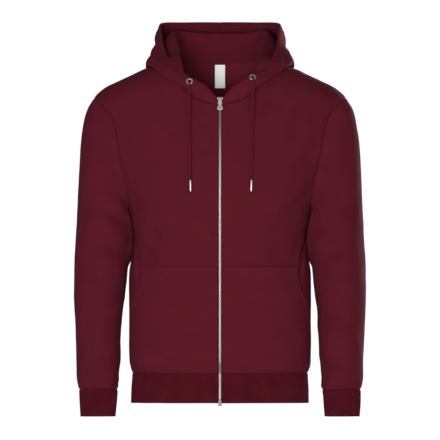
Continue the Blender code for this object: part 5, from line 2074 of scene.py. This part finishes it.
def joined_grids(name: str, grids: list[Array], place: Matrix) -> bpy.types.Object:
    """One piece from several capped tubes of points.

    Args:
        name: the piece's name.
        grids: rows by columns of points, each closed along its columns.
        place: where the piece goes.

    Returns:
        The piece.
    """
    points, faces, offset = [], [], 0
    for grid in grids:
        rows, columns = grid.shape[:2]
        index = np.arange(rows * columns).reshape(rows, columns)
        quads = grid_faces(rows, columns, False, True)[0]
        faces += copies((*quads, index[0], index[-1][::-1]), 1, rows * columns, offset)
        points.append(grid.reshape(-1, 3))
        offset += rows * columns
    mesh = bpy.data.meshes.new(name)
    mesh.from_pydata(np.concatenate(points), [], faces)
    mesh.transform(place)
    return finish_mesh(name, mesh, 50.0)


# ------------------------------------------------------------------ zip


@dataclass(frozen=True)
class Zip:
    """The zip: woven tapes, two rows of teeth, stops, a box, a slider and its pull tab."""

    rise: float = 0.0108
    tape: Cloth = Cloth((Finish.ZIP_TAPE,), "tape", 0.014, 0.652, "stretched")
    tape_lines: tuple[float, ...] = (0.0003, 0.001, 0.004, 0.009, 0.013, 0.014)
    tape_face: float = 0.0029
    tape_back: float = 0.0036
    tooth_pitch: float = 0.0021
    chain_half_width: float = 0.0028
    chain_face: float = -0.0004
    chain_back: float = 0.002
    chain_end: float = 0.0006
    core_radius: float = 0.0008
    stop_drop: float = 0.0015
    stop_outline: Route = ((-0.0008, -0.0018), (0.0008, -0.0018), (0.0008, 0.0018), (-0.0008, 0.0018))
    stop_levels: Route = ((0.0003, -0.0016), (0.0, -0.0013), (0.0, 0.0013), (0.0003, 0.0016))
    box_drop: float = 0.0052
    box_size: Triple = (0.007, 0.0046, 0.0125)
    box_radius: float = 0.0008

    def line(self) -> Array:
        """The zip's line on the cloth's outer face.

        Returns:
            Points from the hem to the zip's top, at x = 0.
        """
        low = FORM.front(np.linspace(0.0, 1 + ZIP_SHARE, 160), np.array([0.0, 1.0]))[:, 0]
        band_z = np.linspace(HEM_Z, BAND_SEAM_Z, 24)[:-1]
        line = np.concatenate([FORM.lift(np.full(len(band_z), ZIP_EDGE), band_z, Facing.FRONT), low])
        up = unit(line[-1] - line[-2])
        line = np.concatenate([line, line[-1] + up * np.linspace(0.0, self.rise, 8)[1:, None]])
        line[:, 0] = 0.0
        return line

    def inward(self, line: Array) -> Array:
        """Directions square to the zip's line, into the garment."""
        tangent = unit(np.gradient(line, axis=0))
        return np.stack([np.zeros(len(line)), tangent[:, 2], -tangent[:, 1]], axis=1)

    def build(self) -> None:
        """Make every part of the zip."""
        line = self.line()
        inward = self.inward(line)
        for hand in Hand:
            across = hand.value * np.array(self.tape_lines)[:, None] * (1.0, 0.0, 0.0)
            depths = (self.tape_face, self.tape_back)
            skins = (line[:, None] + inward[:, None] * depth + across for depth in depths)
            self.tape.build("zip_tape_" + hand.word, *skins, ("front_" + hand.word,), "woven")
        self.build_teeth(line, inward)
        self.build_stops(line, inward)
        self.build_box(line)
        Slider().build(line)

    def tooth(self) -> Array:
        """A waisted block.

        Returns:
            Three rings of six points: across the zip, into the garment and along the zip.
        """
        reach, face = self.chain_half_width, self.chain_face
        ring = np.array([(-0.00025, -0.5), (-0.00042, 0.5), (reach * 0.72, 0.5), (reach, 0.38),
                         (reach, -0.38), (reach * 0.72, -0.5)])
        rings = []
        for depth, shrink in ((face, 0.8), (face + 0.0003, 1.0), (self.chain_back, 1.0)):
            x = ring[:, 0] * np.where(ring[:, 0] > 0, shrink, 1.0)
            z = ring[:, 1] * self.tooth_pitch * 0.6 * shrink
            rings.append(np.stack([x, np.full(6, depth), z], axis=1))
        return np.concatenate(rings)

    def build_teeth(self, line: Array, inward: Array) -> None:
        """Teeth that mesh along the middle, over a corded core.

        Args:
            line: the zip's line.
            inward: directions into the garment along it.
        """
        along = lengths_along(line)
        start, end = self.box_size[2] - self.box_drop + self.chain_end, along[-1] - self.chain_end
        count = int((end - start) / self.tooth_pitch)
        tooth = self.tooth()
        faces = [*grid_faces(3, 6, False, True)[0], (5, 4, 3, 2, 1, 0), (12, 13, 14, 15, 16, 17)]
        blocks = []
        for hand in Hand:
            shift = hand.choose(-1, 1) * self.tooth_pitch / 4
            middle = start + (np.arange(count) + 0.5) * self.tooth_pitch + shift
            into = unit(read_along(along, inward, middle))[:, None]
            up = np.cross((1.0, 0.0, 0.0), into)
            points = at_lengths(line, middle)[:, None] + tooth[:, :1] * np.array([hand.value, 0.0, 0.0])
            blocks.append(points + tooth[:, 1:2] * into + tooth[:, 2:] * up)
        mesh = bpy.data.meshes.new("zip_teeth")
        faces = copies(faces, 2 * count, len(tooth))
        mesh.from_pydata(np.concatenate(blocks).reshape(-1, 3), [], faces)
        place_piece(finish_mesh("metal_zip_teeth", mesh, 30.0), (Finish.TOOTH,), "zip_chain")
        inner = (along > start) & (along < end)
        middle = line[inner] + inward[inner] * (self.tape_face - 0.0006)
        core = grid_piece("zip_chain_core", tube(middle, np.full(len(middle), self.core_radius), 8))
        place_piece(core, (Finish.CHAIN_CORE,))

    def build_stops(self, line: Array, inward: Array) -> None:
        """A pressed staple round the edge of each tape, just below the zip's top.

        Args:
            line: the zip's line.
            inward: directions into the garment along it.
        """
        top = lengths_along(line)[-1:] - self.stop_drop
        middle = at_lengths(line, top)[0] + inward[-1] * self.chain_back / 2
        up = unit(line[-1] - line[-2])
        lean = Matrix.Rotation(-math.atan2(up[1], up[2]), 4, "X")
        block = cushion(rounded_outline(np.array(self.stop_outline), 28, 0.0005), self.stop_levels)
        for hand in Hand:
            shift = np.array([hand.value * self.chain_half_width * 0.55, 0.0, 0.0])
            place = Matrix.Translation(Vector(middle + shift)) @ lean
            place_piece(joined_grids("top_stop_" + hand.word, [block], place), (Finish.TOOTH,))

    def build_box(self, line: Array) -> None:
        """The box at the bottom: a small block with rounded edges.

        Args:
            line: the zip's line.
        """
        _, thickness, height = self.box_size
        y = line[0, 1] + self.tape_face - 0.0003 - thickness / 2
        middle = np.array([0.0, y, HEM_Z - self.box_drop + height / 2])
        box = rounded_block("metal_zip_box", self.box_size, middle, self.box_radius)
        place_piece(box, (Finish.BOX,), "zip_box")


@dataclass(frozen=True)
class Slider:
    """The zip's slider, two crowned plates round a post with a bridge, and the tab that hangs on it."""

    length: float = 0.016
    post: float = 0.003
    clearance: float = 0.0003
    plate: float = 0.0012
    chain_face: float = -0.0004
    tape_back: float = 0.0036
    bridge_hole: Pair = (0.003, 0.0028)
    bridge_wall: float = 0.0009
    half_outline: Route = (
        (0.0041, -0.008), (0.0045, -0.0064), (0.0045, 0.0028), (0.0068, 0.0064), (0.0061, 0.008),
    )
    crown: Route = (
        (0.0006, 0.0), (0.0001, 0.0), (0.0, 0.3), (0.0001, 0.75), (0.0005, 1.0), (0.0016, 1.14), (0.003, 1.2),
    )
    post_outline: Route = (
        (0.0022, 0.0), (0.0022, -0.0014), (0.0, -0.0036), (-0.0022, -0.0014), (-0.0022, 0.0),
    )
    flange: Route = ((0.0036, -0.0076), (0.0045, -0.0066), (0.0045, 0.0022), (0.0036, 0.003))
    flange_front: Route = ((0.0, -0.0001), (0.0001, 0.0011), (0.0004, 0.0014))
    flange_back: Route = ((0.0, 0.0001), (0.0001, -0.0005), (0.0004, -0.0008))
    tab_thickness: float = 0.0012
    tab_length: float = 0.024
    tab_window: Pair = (0.0036, 0.0038)
    tab_side: Route = (
        (0.0034, 0.0006), (0.0036, -0.005), (0.003, -0.0095), (0.0038, -0.015), (0.006, -0.0185),
    )
    tab_round: Pair = (0.006, -0.02)
    tab_hole: Triple = (0.003, 0.0016, -0.0197)
    tab_bevel: float = 0.00028

    def frame(self, line: Array) -> Matrix:
        """The slider's own frame on the zip's line: z up the zip, -y out of the cloth.

        Args:
            line: the zip's line.

        Returns:
            The frame.
        """
        rise = unit(line[-1] - line[-2])
        middle = line[-1] + rise * (self.post + self.clearance - self.length / 2)
        return Matrix.Translation(Vector(middle)) @ Matrix.Rotation(-math.atan2(rise[1], rise[2]), 4, "X")

    def hinge(self) -> tuple[float, float]:
        """Depth and height of the tab's bar in the slider's frame."""
        depth = self.chain_face - self.clearance - self.plate - self.bridge_hole[0] / 2
        return depth, self.length / 2 - self.post - self.bridge_wall - self.bridge_hole[1] / 2

    def bridge(self, front: float) -> Array:
        """The bridge: a flat band bowed out of the front plate and back into it.

        Args:
            front: the y of the front plate's inner face.

        Returns:
            Rings of points along the band.
        """
        depth, height = self.hinge()
        half_wall = self.bridge_wall / 2
        arm = self.bridge_hole[1] / 2 + half_wall
        out, foot = depth - self.bridge_hole[0] / 2 - half_wall, front - self.plate * 0.5
        half = np.array([(0.0, foot, -arm), (0.0, out + 0.0012, -arm), (0.0, out + 0.0003, 0.0005 - arm),
                         (0.0, out, 0.0014 - arm)])
        arch = np.concatenate([half, half[::-1] * (1.0, 1.0, -1.0)]) + (0.0, 0.0, height)
        arch = curve_through(np.linspace(0, 1, len(arch)), arch, np.linspace(0, 1, 36))
        return tube(arch, np.full(len(arch), half_wall), 12) * (2.2, 1.0, 1.0)

    def build(self, line: Array) -> None:
        """Make the slider as one piece and the tab as another.

        Args:
            line: the zip's line.
        """
        place = self.frame(line)
        right = np.array(self.half_outline)
        outline = rounded_outline(np.concatenate([right, right[::-1] * (-1.0, 1.0)]))
        front, back = self.chain_face - self.clearance, self.tape_back + self.clearance
        crown = np.array(self.crown)
        parts = [
            cushion(outline, (0.0, y) + crown * (1.0, out * self.plate))
            for y, out in ((front, -1.0), (back, 1.0))
        ]
        post = rounded_outline(np.array(self.post_outline) + (0.0, self.length / 2), 36, 0.0005)
        parts.append(cushion(post, ((0.0, front - 0.0003), (0.0, back + 0.0003))))
        for side in (-1.0, 1.0):
            flange = rounded_outline(np.array(self.flange) * (side, 1.0), 32, 0.0004)
            for y, depths in ((front, self.flange_front), (back, self.flange_back)):
                parts.append(cushion(flange, (0.0, y) + np.array(depths)))
        parts.append(self.bridge(front))
        place_piece(joined_grids("cast_slider", parts, place), (Finish.SLIDER,), "zip_slider")
        self.build_tab(place @ Matrix.Translation((0.0, *self.hinge())))

    def tab_loops(self) -> tuple[Array, Array, Array]:
        """The tab's round-ended outline, its window for the bridge and the hole near its end.

        Returns:
            Three closed lines of x and z, with the tab's bar at 0.
        """
        bar = self.tab_thickness / 2
        half_width, start = self.tab_round
        turn = np.linspace(0.0, math.pi / 2, 12)
        end = start - (start - bar + self.tab_length) * np.sin(turn)
        side = np.concatenate([self.tab_side, np.stack([half_width * np.cos(turn), end], axis=1)])
        outer = rounded_outline(np.concatenate([side, side[-2::-1] * (-1.0, 1.0)]), 110, 0.0016)
        half, foot = self.tab_window[0] / 2, -bar - self.tab_window[1]
        corners = np.array([(half, -bar), (-half, -bar), (-half, foot), (half, foot)])
        across, high, middle = self.tab_hole
        turn = np.linspace(0.0, 2 * math.pi, 28, endpoint=False)
        hole = np.stack([across * np.cos(turn), middle + high * np.sin(turn)], axis=1)
        return outer, rounded_outline(corners, 32, 0.0007), hole

    def build_tab(self, place: Matrix) -> None:
        """A stamped tab with rounded edges: a flat outline with two holes, thickened and bevelled.

        Args:
            place: the frame of the hinge.
        """
        curve = bpy.data.curves.new("tab_outline", "CURVE")
        curve.dimensions = "2D"
        curve.fill_mode = "BOTH"
        curve.extrude = self.tab_thickness / 2 - self.tab_bevel
        curve.bevel_depth = self.tab_bevel
        curve.bevel_resolution = 2
        curve.offset = -self.tab_bevel
        for loop in self.tab_loops():
            spline = curve.splines.new("POLY")
            spline.points.add(len(loop) - 1)
            spline.points.foreach_set("co", np.insert(loop, [2, 2], [0.0, 1.0], axis=1).ravel())
            spline.use_cyclic_u = True
        drawing = bpy.data.objects.new("tab_outline", curve)
        mesh = bpy.data.meshes.new_from_object(drawing)
        mesh.name = "stamped_pull_tab"
        bpy.data.objects.remove(drawing)
        bpy.data.curves.remove(curve)
        mesh.transform(place @ Matrix.Rotation(math.pi / 2, 4, "X"))
        mesh.materials.clear()
        weld(mesh)
        tab = finish_mesh("stamped_pull_tab", mesh, 50.0)
        place_piece(tab, (Finish.SLIDER,), "zip_pull", PULL_TAB)


def weld(mesh: bpy.types.Mesh) -> None:
    """Join the points of a mesh that lie on each other.

    Args:
        mesh: the mesh, changed in place.
    """
    work = bmesh.new()
    work.from_mesh(mesh)
    bmesh.ops.remove_doubles(work, verts=work.verts, dist=0.000005)
    work.to_mesh(mesh)
    work.free()


# ------------------------------------------------------------------ cords and eyelets


@dataclass(frozen=True)
class CordEnd:
    """One free end of the drawcord: its eyelet, its way down the front, and its metal tip."""

    hand: Hand
    seat: Triple
    facing: Triple
    route: Route
    diameter: float = 0.005
    step: float = 0.0007
    lay: float = 0.0085
    strand: Pair = (0.955, 0.06)
    exit_length: float = 0.0042
    eyelet_height: float = 0.0016
    eyelet_radius: float = 0.0072
    hole_radius: float = 0.0037
    tip_radius: float = 0.0024
    tip_start: float = 0.0003
    tip_profile: Route = (
        (0.0, 0.8), (0.0003, 0.97), (0.0012, 1.0), (0.003, 1.0), (0.0034, 0.9), (0.0038, 1.0), (0.005, 1.0),
        (0.0054, 0.9), (0.0058, 1.0), (0.0075, 1.0), (0.016, 0.95), (0.0215, 0.9), (0.0232, 0.8),
        (0.0238, 0.62), (0.024, 0.4),
    )

    def path(self) -> Array:
        """The cord's middle line, a smooth curve through its route.

        Returns:
            Points in even steps.
        """
        facing = unit(np.array(self.facing))
        start = np.array(self.seat) - facing * self.eyelet_height / 2
        bend = start + facing * self.exit_length - (0.0, 0.0, 0.0012)
        route = np.array([start, bend, *self.route])
        along = lengths_along(route)
        fine = curve_through(along, route, np.linspace(0.0, along[-1], 600))
        total = lengths_along(fine)[-1]
        return at_lengths(fine, np.linspace(0.0, total, round(total / self.step)))

    def braid(self, angle: Array, along: Array) -> Array:
        """Two sets of strands wound opposite ways; the one on top stands out."""
        one, two = (np.abs(np.cos(2.0 * (angle + way * 2 * math.pi * along / self.lay))) for way in (1, -1))
        return self.strand[0] + self.strand[1] * np.maximum(one, two)

    def build(self) -> None:
        """Make the cord with its braid, its tip and its eyelet."""
        path = self.path()
        surface = tube(path, np.full(len(path), self.diameter / 2), 24, self.braid)
        cord = grid_piece("braided_cord_" + self.hand.word, surface, sharp_degrees=80.0)
        place_piece(cord, (Finish.BRAID,), "cord_" + self.hand.word)
        self.build_tip(path)
        self.build_eyelet()

    def build_tip(self, path: Array) -> bpy.types.Object:
        """A turned metal tip, crimped near its top and rounded at its end.

        Args:
            path: the cord's middle line.

        Returns:
            The piece.
        """
        down = unit(path[-1] - path[-12])
        along, shape = np.array(self.tip_profile).T
        route = path[-1] + down * self.tip_start + along[:, None] * down
        surface = tube(route, shape * self.tip_radius, 24)
        tip = grid_piece("metal_tip_" + self.hand.word, surface, sharp_degrees=50.0)
        return place_piece(tip, (Finish.NICKEL,), "cord_tip_" + self.hand.word)

    def build_eyelet(self) -> None:
        """A pressed ring, rolled at its outer edge and drawn into the hole, over a near-black disc: painted
        shadow in the hole.
        """
        middle, facing = np.array(self.seat), unit(np.array(self.facing))
        side = unit(np.cross(facing, (0.0, 0.0, 1.0)))
        turn = 2 * math.pi * np.arange(48)[:, None] / 48
        around = np.cos(turn) * side + np.sin(turn) * np.cross(side, facing)
        high, hole, rim = self.eyelet_height / 2, self.hole_radius, self.eyelet_radius
        profiles = (
            ((hole, -1.0), (hole + 0.0001, 0.0), (hole + 0.0005, 0.75), (hole + 0.0012, 1.0),
             (rim - 0.001, 0.85), (rim - 0.0003, 0.3), (rim, -0.3), (rim - 0.0003, -1.0),
             (hole + 0.0012, -1.0)),
            ((0.0004, -0.62), (0.002, -0.6), (hole - 0.0002, -0.55), (hole, -0.95), (0.0004, -1.0)),
        )
        ring, disc = (
            middle + turned[:, None, :1] * around + turned[:, None, 1:] * high * facing
            for turned in map(np.array, profiles)
        )
        eyelet = grid_piece("rolled_eyelet_" + self.hand.word, ring, True, 60.0)
        place_piece(eyelet, (Finish.NICKEL,), "eyelet_" + self.hand.word)
        # The near-black disc paints the shadow inside the eyelet's hole.
        place_piece(grid_piece("eyelet_hole_" + self.hand.word, disc), (Finish.EYELET_HOLE,))


# ------------------------------------------------------------------ room, light and camera


@dataclass(frozen=True)
class Lamp:
    """A square soft light: where it stands, what it points at, its side in metres and its watts."""

    name: str
    place: Triple
    aim: Triple
    size: float
    power: float

    def build(self) -> None:
        """Put the light into the scene."""
        lamp = bpy.data.lights.new(self.name, "AREA")
        lamp.size, lamp.energy = self.size, self.power
        light = bpy.data.objects.new(self.name, lamp)
        light.location = self.place
        light.rotation_euler = (Vector(self.aim) - Vector(self.place)).to_track_quat("-Z", "Y").to_euler()
        bpy.context.scene.collection.objects.link(light)


@dataclass(frozen=True)
class Studio:
    """A pale seamless floor, soft light from the front, and a level camera with a long lens."""

    distance: float = 40.0
    frame_width: float = 0.924
    sensor_width: float = 36.0
    look_height: float = -0.315
    floor_half_side: float = 12.0
    floor_height: float = -1.25
    surround: float = 0.19
    seen_surround: float = 1.05
    lamps: tuple[Lamp, ...] = (
        Lamp("front_light", (-1.0, -5.3, -0.7), (0.0, 0.0, -0.3), 2.2, 212.0),
        Lamp("side_light", (1.6, -4.6, 0.7), (0.0, 0.0, -0.1), 1.6, 24.0),
        Lamp("back_light", (2.9, 4.2, 0.5), (0.0, 0.0, -0.3), 1.8, 240.0),
    )

    def build_camera(self) -> None:
        """A camera level with the middle of the garment, straight in front of it."""
        lens = bpy.data.cameras.new("camera")
        lens.sensor_width = self.sensor_width
        lens.lens = self.sensor_width * self.distance / self.frame_width
        lens.clip_end = 3 * self.distance
        camera = bpy.data.objects.new("camera", lens)
        camera.location = (0.0, -self.distance, self.look_height)
        camera.rotation_euler = (math.pi / 2, 0.0, 0.0)
        bpy.context.scene.collection.objects.link(camera)
        bpy.context.scene.camera = camera

    def build_room(self) -> None:
        """A wide, flat, pale floor well below the garment, white where the camera sees it."""
        x, y = np.meshgrid(*[np.array([-1.0, 1.0]) * self.floor_half_side] * 2)
        corners = np.stack([x, y, np.full_like(x, self.floor_height)], axis=-1)
        mesh = bpy.data.meshes.new("floor")
        mesh.from_pydata(corners.reshape(-1, 3), [], [(0, 1, 3, 2)])
        floor = bpy.data.objects.new("floor", mesh)
        bpy.context.scene.collection.objects.link(floor)
        material = bpy.data.materials.new("pale_floor")
        material.use_nodes = True
        paint = Painter(material.node_tree)
        paint.fill(material.node_tree.nodes["Principled BSDF"], {
            "Base Color": (0.93, 0.93, 0.93, 1.0),
            "Roughness": 0.9,
            "Emission Color": (1.0, 1.0, 1.0, 1.0),
            "Emission Strength": paint.add("LightPath").outputs["Is Camera Ray"],
        })
        mesh.materials.append(material)

    def build_light(self) -> None:
        """A white surround, a large soft light in front and two more, at one side and behind."""
        world = bpy.data.worlds.new("surround")
        world.use_nodes = True
        paint = Painter(world.node_tree)
        seen = paint.add("LightPath").outputs["Is Camera Ray"]
        strength = paint.math("MULTIPLY_ADD", seen, self.seen_surround - self.surround, self.surround)
        paint.fill(world.node_tree.nodes["Background"], {"Color": (1.0, 1.0, 1.0, 1.0), "Strength": strength})
        bpy.context.scene.world = world
        for lamp in self.lamps:
            lamp.build()


# ------------------------------------------------------------------ the garment


# Creases: width, depth, then the places its line passes: x and z on a panel, pocket or the band,
# an angle and a row on a sleeve, a place and a row on the hood
FRONT_CREASES = {
    Hand.RIGHT: creases(
        (0.0078, 0.012, 0.186, -0.325, 0.178, -0.362, 0.173, -0.402,
         0.171, -0.437, 0.166, -0.462, 0.158, -0.496),
        (0.016, 0.0034, 0.214, -0.15, 0.196, -0.182, 0.17, -0.205, 0.138, -0.222),
        (0.014, 0.0037, 0.196, -0.252, 0.178, -0.282, 0.15, -0.318),
        (0.026, 0.0027, 0.12, -0.11, 0.112, -0.17, 0.11, -0.235),
        (0.022, -0.0027, 0.09, -0.285, 0.096, -0.34, 0.088, -0.398),
        (0.02, 0.0019, 0.04, -0.15, 0.046, -0.21, 0.04, -0.275),
        (0.018, 0.0034, 0.15, -0.3, 0.142, -0.35, 0.146, -0.405),
    ),
    Hand.LEFT: creases(
        (0.007, 0.008, 0.187, -0.32, 0.179, -0.36, 0.172, -0.4, 0.168, -0.446, 0.162, -0.482),
        (0.015, 0.0032, 0.216, -0.14, 0.192, -0.176, 0.16, -0.192),
        (0.015, 0.0041, 0.198, -0.246, 0.172, -0.274, 0.146, -0.29, 0.12, -0.3),
        (0.024, 0.0024, 0.112, -0.12, 0.104, -0.18, 0.106, -0.25),
        (0.02, -0.0026, 0.08, -0.3, 0.074, -0.345, 0.08, -0.395),
        (0.017, 0.0031, 0.134, -0.33, 0.126, -0.372, 0.13, -0.408),
    ),
}
BACK_CREASES = creases(
    (0.017, 0.0074, -0.2, -0.24, -0.165, -0.275, -0.12, -0.292),
    (0.018, 0.0067, 0.202, -0.228, 0.16, -0.262, 0.108, -0.27),
    (0.013, 0.009, -0.186, -0.33, -0.17, -0.4, -0.16, -0.48),
    (0.012, 0.009, 0.186, -0.322, 0.172, -0.39, 0.166, -0.462),
    (0.03, 0.0064, -0.06, -0.19, -0.052, -0.29, -0.062, -0.4),
    (0.032, 0.0054, 0.07, -0.21, 0.062, -0.31, 0.074, -0.44),
    (0.018, 0.0059, -0.12, -0.47, -0.07, -0.505, -0.01, -0.512),
    (0.019, 0.0064, 0.135, -0.5, 0.08, -0.54, 0.02, -0.552),
    (0.014, 0.0054, -0.15, -0.56, -0.1, -0.585, -0.05, -0.592),
    (0.028, -0.0031, 0.006, -0.33, 0.0, -0.42, 0.01, -0.47),
)
SLEEVE_CREASES = {
    Hand.RIGHT: creases(
        (0.013, 0.0049, 40.0, 3.2, 75.0, 4.0, 112.0, 4.4),
        (0.012, 0.0052, 28.0, 5.4, 62.0, 5.9, 100.0, 6.0),
        (0.014, 0.0046, 52.0, 7.2, 86.0, 7.6, 128.0, 7.3),
        (0.011, 0.0038, 20.0, 8.4, 56.0, 8.9, 90.0, 9.0),
        (0.013, 0.0029, 96.0, 8.6, 120.0, 9.6, 132.0, 10.6),
        (0.009, 0.0035, 60.0, 10.4, 92.0, 10.9, 126.0, 10.8),
        (0.008, 0.0029, 40.0, 11.3, 80.0, 11.7, 110.0, 11.6),
        (0.014, 0.0049, 250.0, 4.4, 284.0, 5.0, 322.0, 5.1),
        (0.013, 0.0052, 238.0, 6.4, 276.0, 6.9, 318.0, 7.1),
        (0.012, 0.0043, 256.0, 8.3, 296.0, 8.8, 334.0, 8.6),
        (0.01, 0.0035, 230.0, 10.2, 268.0, 10.6, 300.0, 10.5),
        (0.022, 0.0023, 150.0, 2.2, 160.0, 4.2, 156.0, 6.6),
    ),
    Hand.LEFT: creases(
        (0.014, 0.0046, 34.0, 3.6, 70.0, 4.3, 104.0, 4.6),
        (0.013, 0.0052, 46.0, 6.0, 84.0, 6.3, 120.0, 6.1),
        (0.012, 0.0043, 24.0, 7.5, 60.0, 8.0, 96.0, 8.2),
        (0.013, 0.0035, 70.0, 9.0, 104.0, 9.5, 134.0, 9.6),
        (0.009, 0.0033, 48.0, 10.7, 84.0, 11.1, 120.0, 11.1),
        (0.007, 0.0026, 30.0, 11.6, 66.0, 11.9, 96.0, 11.9),
        (0.015, 0.0049, 244.0, 4.0, 282.0, 4.5, 326.0, 4.9),
        (0.013, 0.0048, 252.0, 6.9, 290.0, 7.3, 326.0, 7.2),
        (0.012, 0.0043, 234.0, 8.8, 272.0, 9.3, 312.0, 9.2),
        (0.009, 0.0032, 246.0, 10.8, 282.0, 11.2, 316.0, 11.1),
        (0.022, 0.0022, 204.0, 2.4, 196.0, 4.4, 200.0, 6.4),
    ),
}
HOOD_CREASES = {
    Hand.RIGHT: creases(
        (0.01, 0.0031, 0.4, 0.7, 0.5, 0.8, 0.6, 0.86),
        (0.014, 0.0045, 0.6, 0.6, 0.72, 0.66, 0.84, 0.7),
        (0.012, 0.0041, 0.78, 0.58, 0.88, 0.62, 0.97, 0.62),
        (0.015, 0.0034, 0.66, 0.74, 0.78, 0.84, 0.9, 0.88),
        (0.008, 0.002, 0.3, 0.62, 0.36, 0.7, 0.42, 0.84),
        (0.016, 0.006, 0.62, 0.9, 0.72, 0.74, 0.84, 0.6),
        (0.013, 0.0048, 0.76, 0.9, 0.84, 0.78, 0.97, 0.7),
        (0.012, 0.005, 0.5, 0.78, 0.62, 0.68, 0.78, 0.55),
        (0.005, 0.0024, 0.05, 0.34, 0.1, 0.42, 0.16, 0.36),
    ),
    Hand.LEFT: creases(
        (0.01, 0.0029, 0.38, 0.66, 0.48, 0.78, 0.56, 0.88),
        (0.013, 0.0045, 0.58, 0.64, 0.7, 0.7, 0.8, 0.76),
        (0.013, 0.0044, 0.74, 0.55, 0.86, 0.6, 0.96, 0.59),
        (0.015, 0.0031, 0.7, 0.8, 0.82, 0.84, 0.95, 0.83),
        (0.008, 0.002, 0.28, 0.66, 0.34, 0.74, 0.38, 0.86),
        (0.015, 0.0056, 0.6, 0.92, 0.7, 0.76, 0.8, 0.62),
        (0.014, 0.005, 0.8, 0.92, 0.88, 0.8, 0.98, 0.74),
        (0.012, 0.0052, 0.54, 0.76, 0.66, 0.64, 0.84, 0.57),
        (0.005, 0.0018, 0.08, 0.3, 0.13, 0.4, 0.18, 0.32),
    ),
}
POCKET_CREASES = {
    Hand.RIGHT: creases(
        (0.024, 0.0026, 0.15, -0.44, 0.12, -0.5, 0.11, -0.57),
        (0.026, 0.0022, 0.045, -0.44, 0.06, -0.5, 0.056, -0.57),
        (0.015, 0.0022, 0.165, -0.53, 0.13, -0.575, 0.085, -0.598),
    ),
    Hand.LEFT: creases(
        (0.022, 0.0024, 0.146, -0.445, 0.124, -0.51, 0.118, -0.56),
        (0.026, 0.0021, 0.05, -0.45, 0.048, -0.52, 0.058, -0.59),
        (0.014, 0.0021, 0.168, -0.54, 0.136, -0.58, 0.1, -0.604),
    ),
}
BAND_CREASES = creases(
    (0.003, 0.0015, -0.104, -0.639, -0.078, -0.6405, -0.052, -0.6395),
    (0.0034, 0.0014, -0.098, -0.6515, -0.072, -0.6535, -0.046, -0.652),
    (0.003, 0.0014, 0.06, -0.6385, 0.082, -0.64, 0.104, -0.639),
    (0.0032, 0.0012, 0.056, -0.6505, 0.074, -0.652, 0.092, -0.6508),
)
CORD_ENDS = (
    CordEnd(Hand.RIGHT, (-0.06395, -0.11015, -0.02442), (-0.029, -0.904, 0.426), (
        (-0.0642, -0.1152, -0.0298), (-0.0644, -0.1164, -0.036), (-0.0643, -0.1167, -0.05),
        (-0.064, -0.1172, -0.09), (-0.0636, -0.12, -0.12), (-0.0631, -0.1262, -0.15),
        (-0.0626, -0.132, -0.19), (-0.062, -0.1352, -0.231),
    )),
    CordEnd(Hand.LEFT, (0.06816, -0.10452, -0.01551), (0.097, -0.824, 0.558), (
        (0.069, -0.1104, -0.0206), (0.0692, -0.1138, -0.0275), (0.0692, -0.1152, -0.04),
        (0.0686, -0.1166, -0.09), (0.068, -0.1195, -0.12), (0.0674, -0.1255, -0.15),
        (0.0666, -0.1312, -0.19), (0.0658, -0.1345, -0.231),
    )),
)


def main() -> None:
    """Build the camera and cords first, then every piece of the garment, then the room."""
    studio = Studio()
    studio.build_camera()
    for cord_end in CORD_ENDS:
        cord_end.build()
    for hand in Hand:
        FrontPanel(hand, FRONT_CREASES[hand]).build()
    BackPanel(BACK_CREASES).build()
    for hand in Hand:
        Sleeve(hand, SLEEVE_CREASES[hand]).build()
        Cuff(hand).build()
    Waistband(BAND_CREASES).build()
    for hand in Hand:
        HoodHalf(hand, HOOD_CREASES[hand]).build()
        Pocket(hand, POCKET_CREASES[hand]).build()
    NeckTrim().build()
    Zip().build()
    studio.build_room()
    studio.build_light()
    bpy.context.scene.view_settings.view_transform = "Standard"


if __name__ == "__main__":
    logging.basicConfig(level=logging.INFO)
    main()
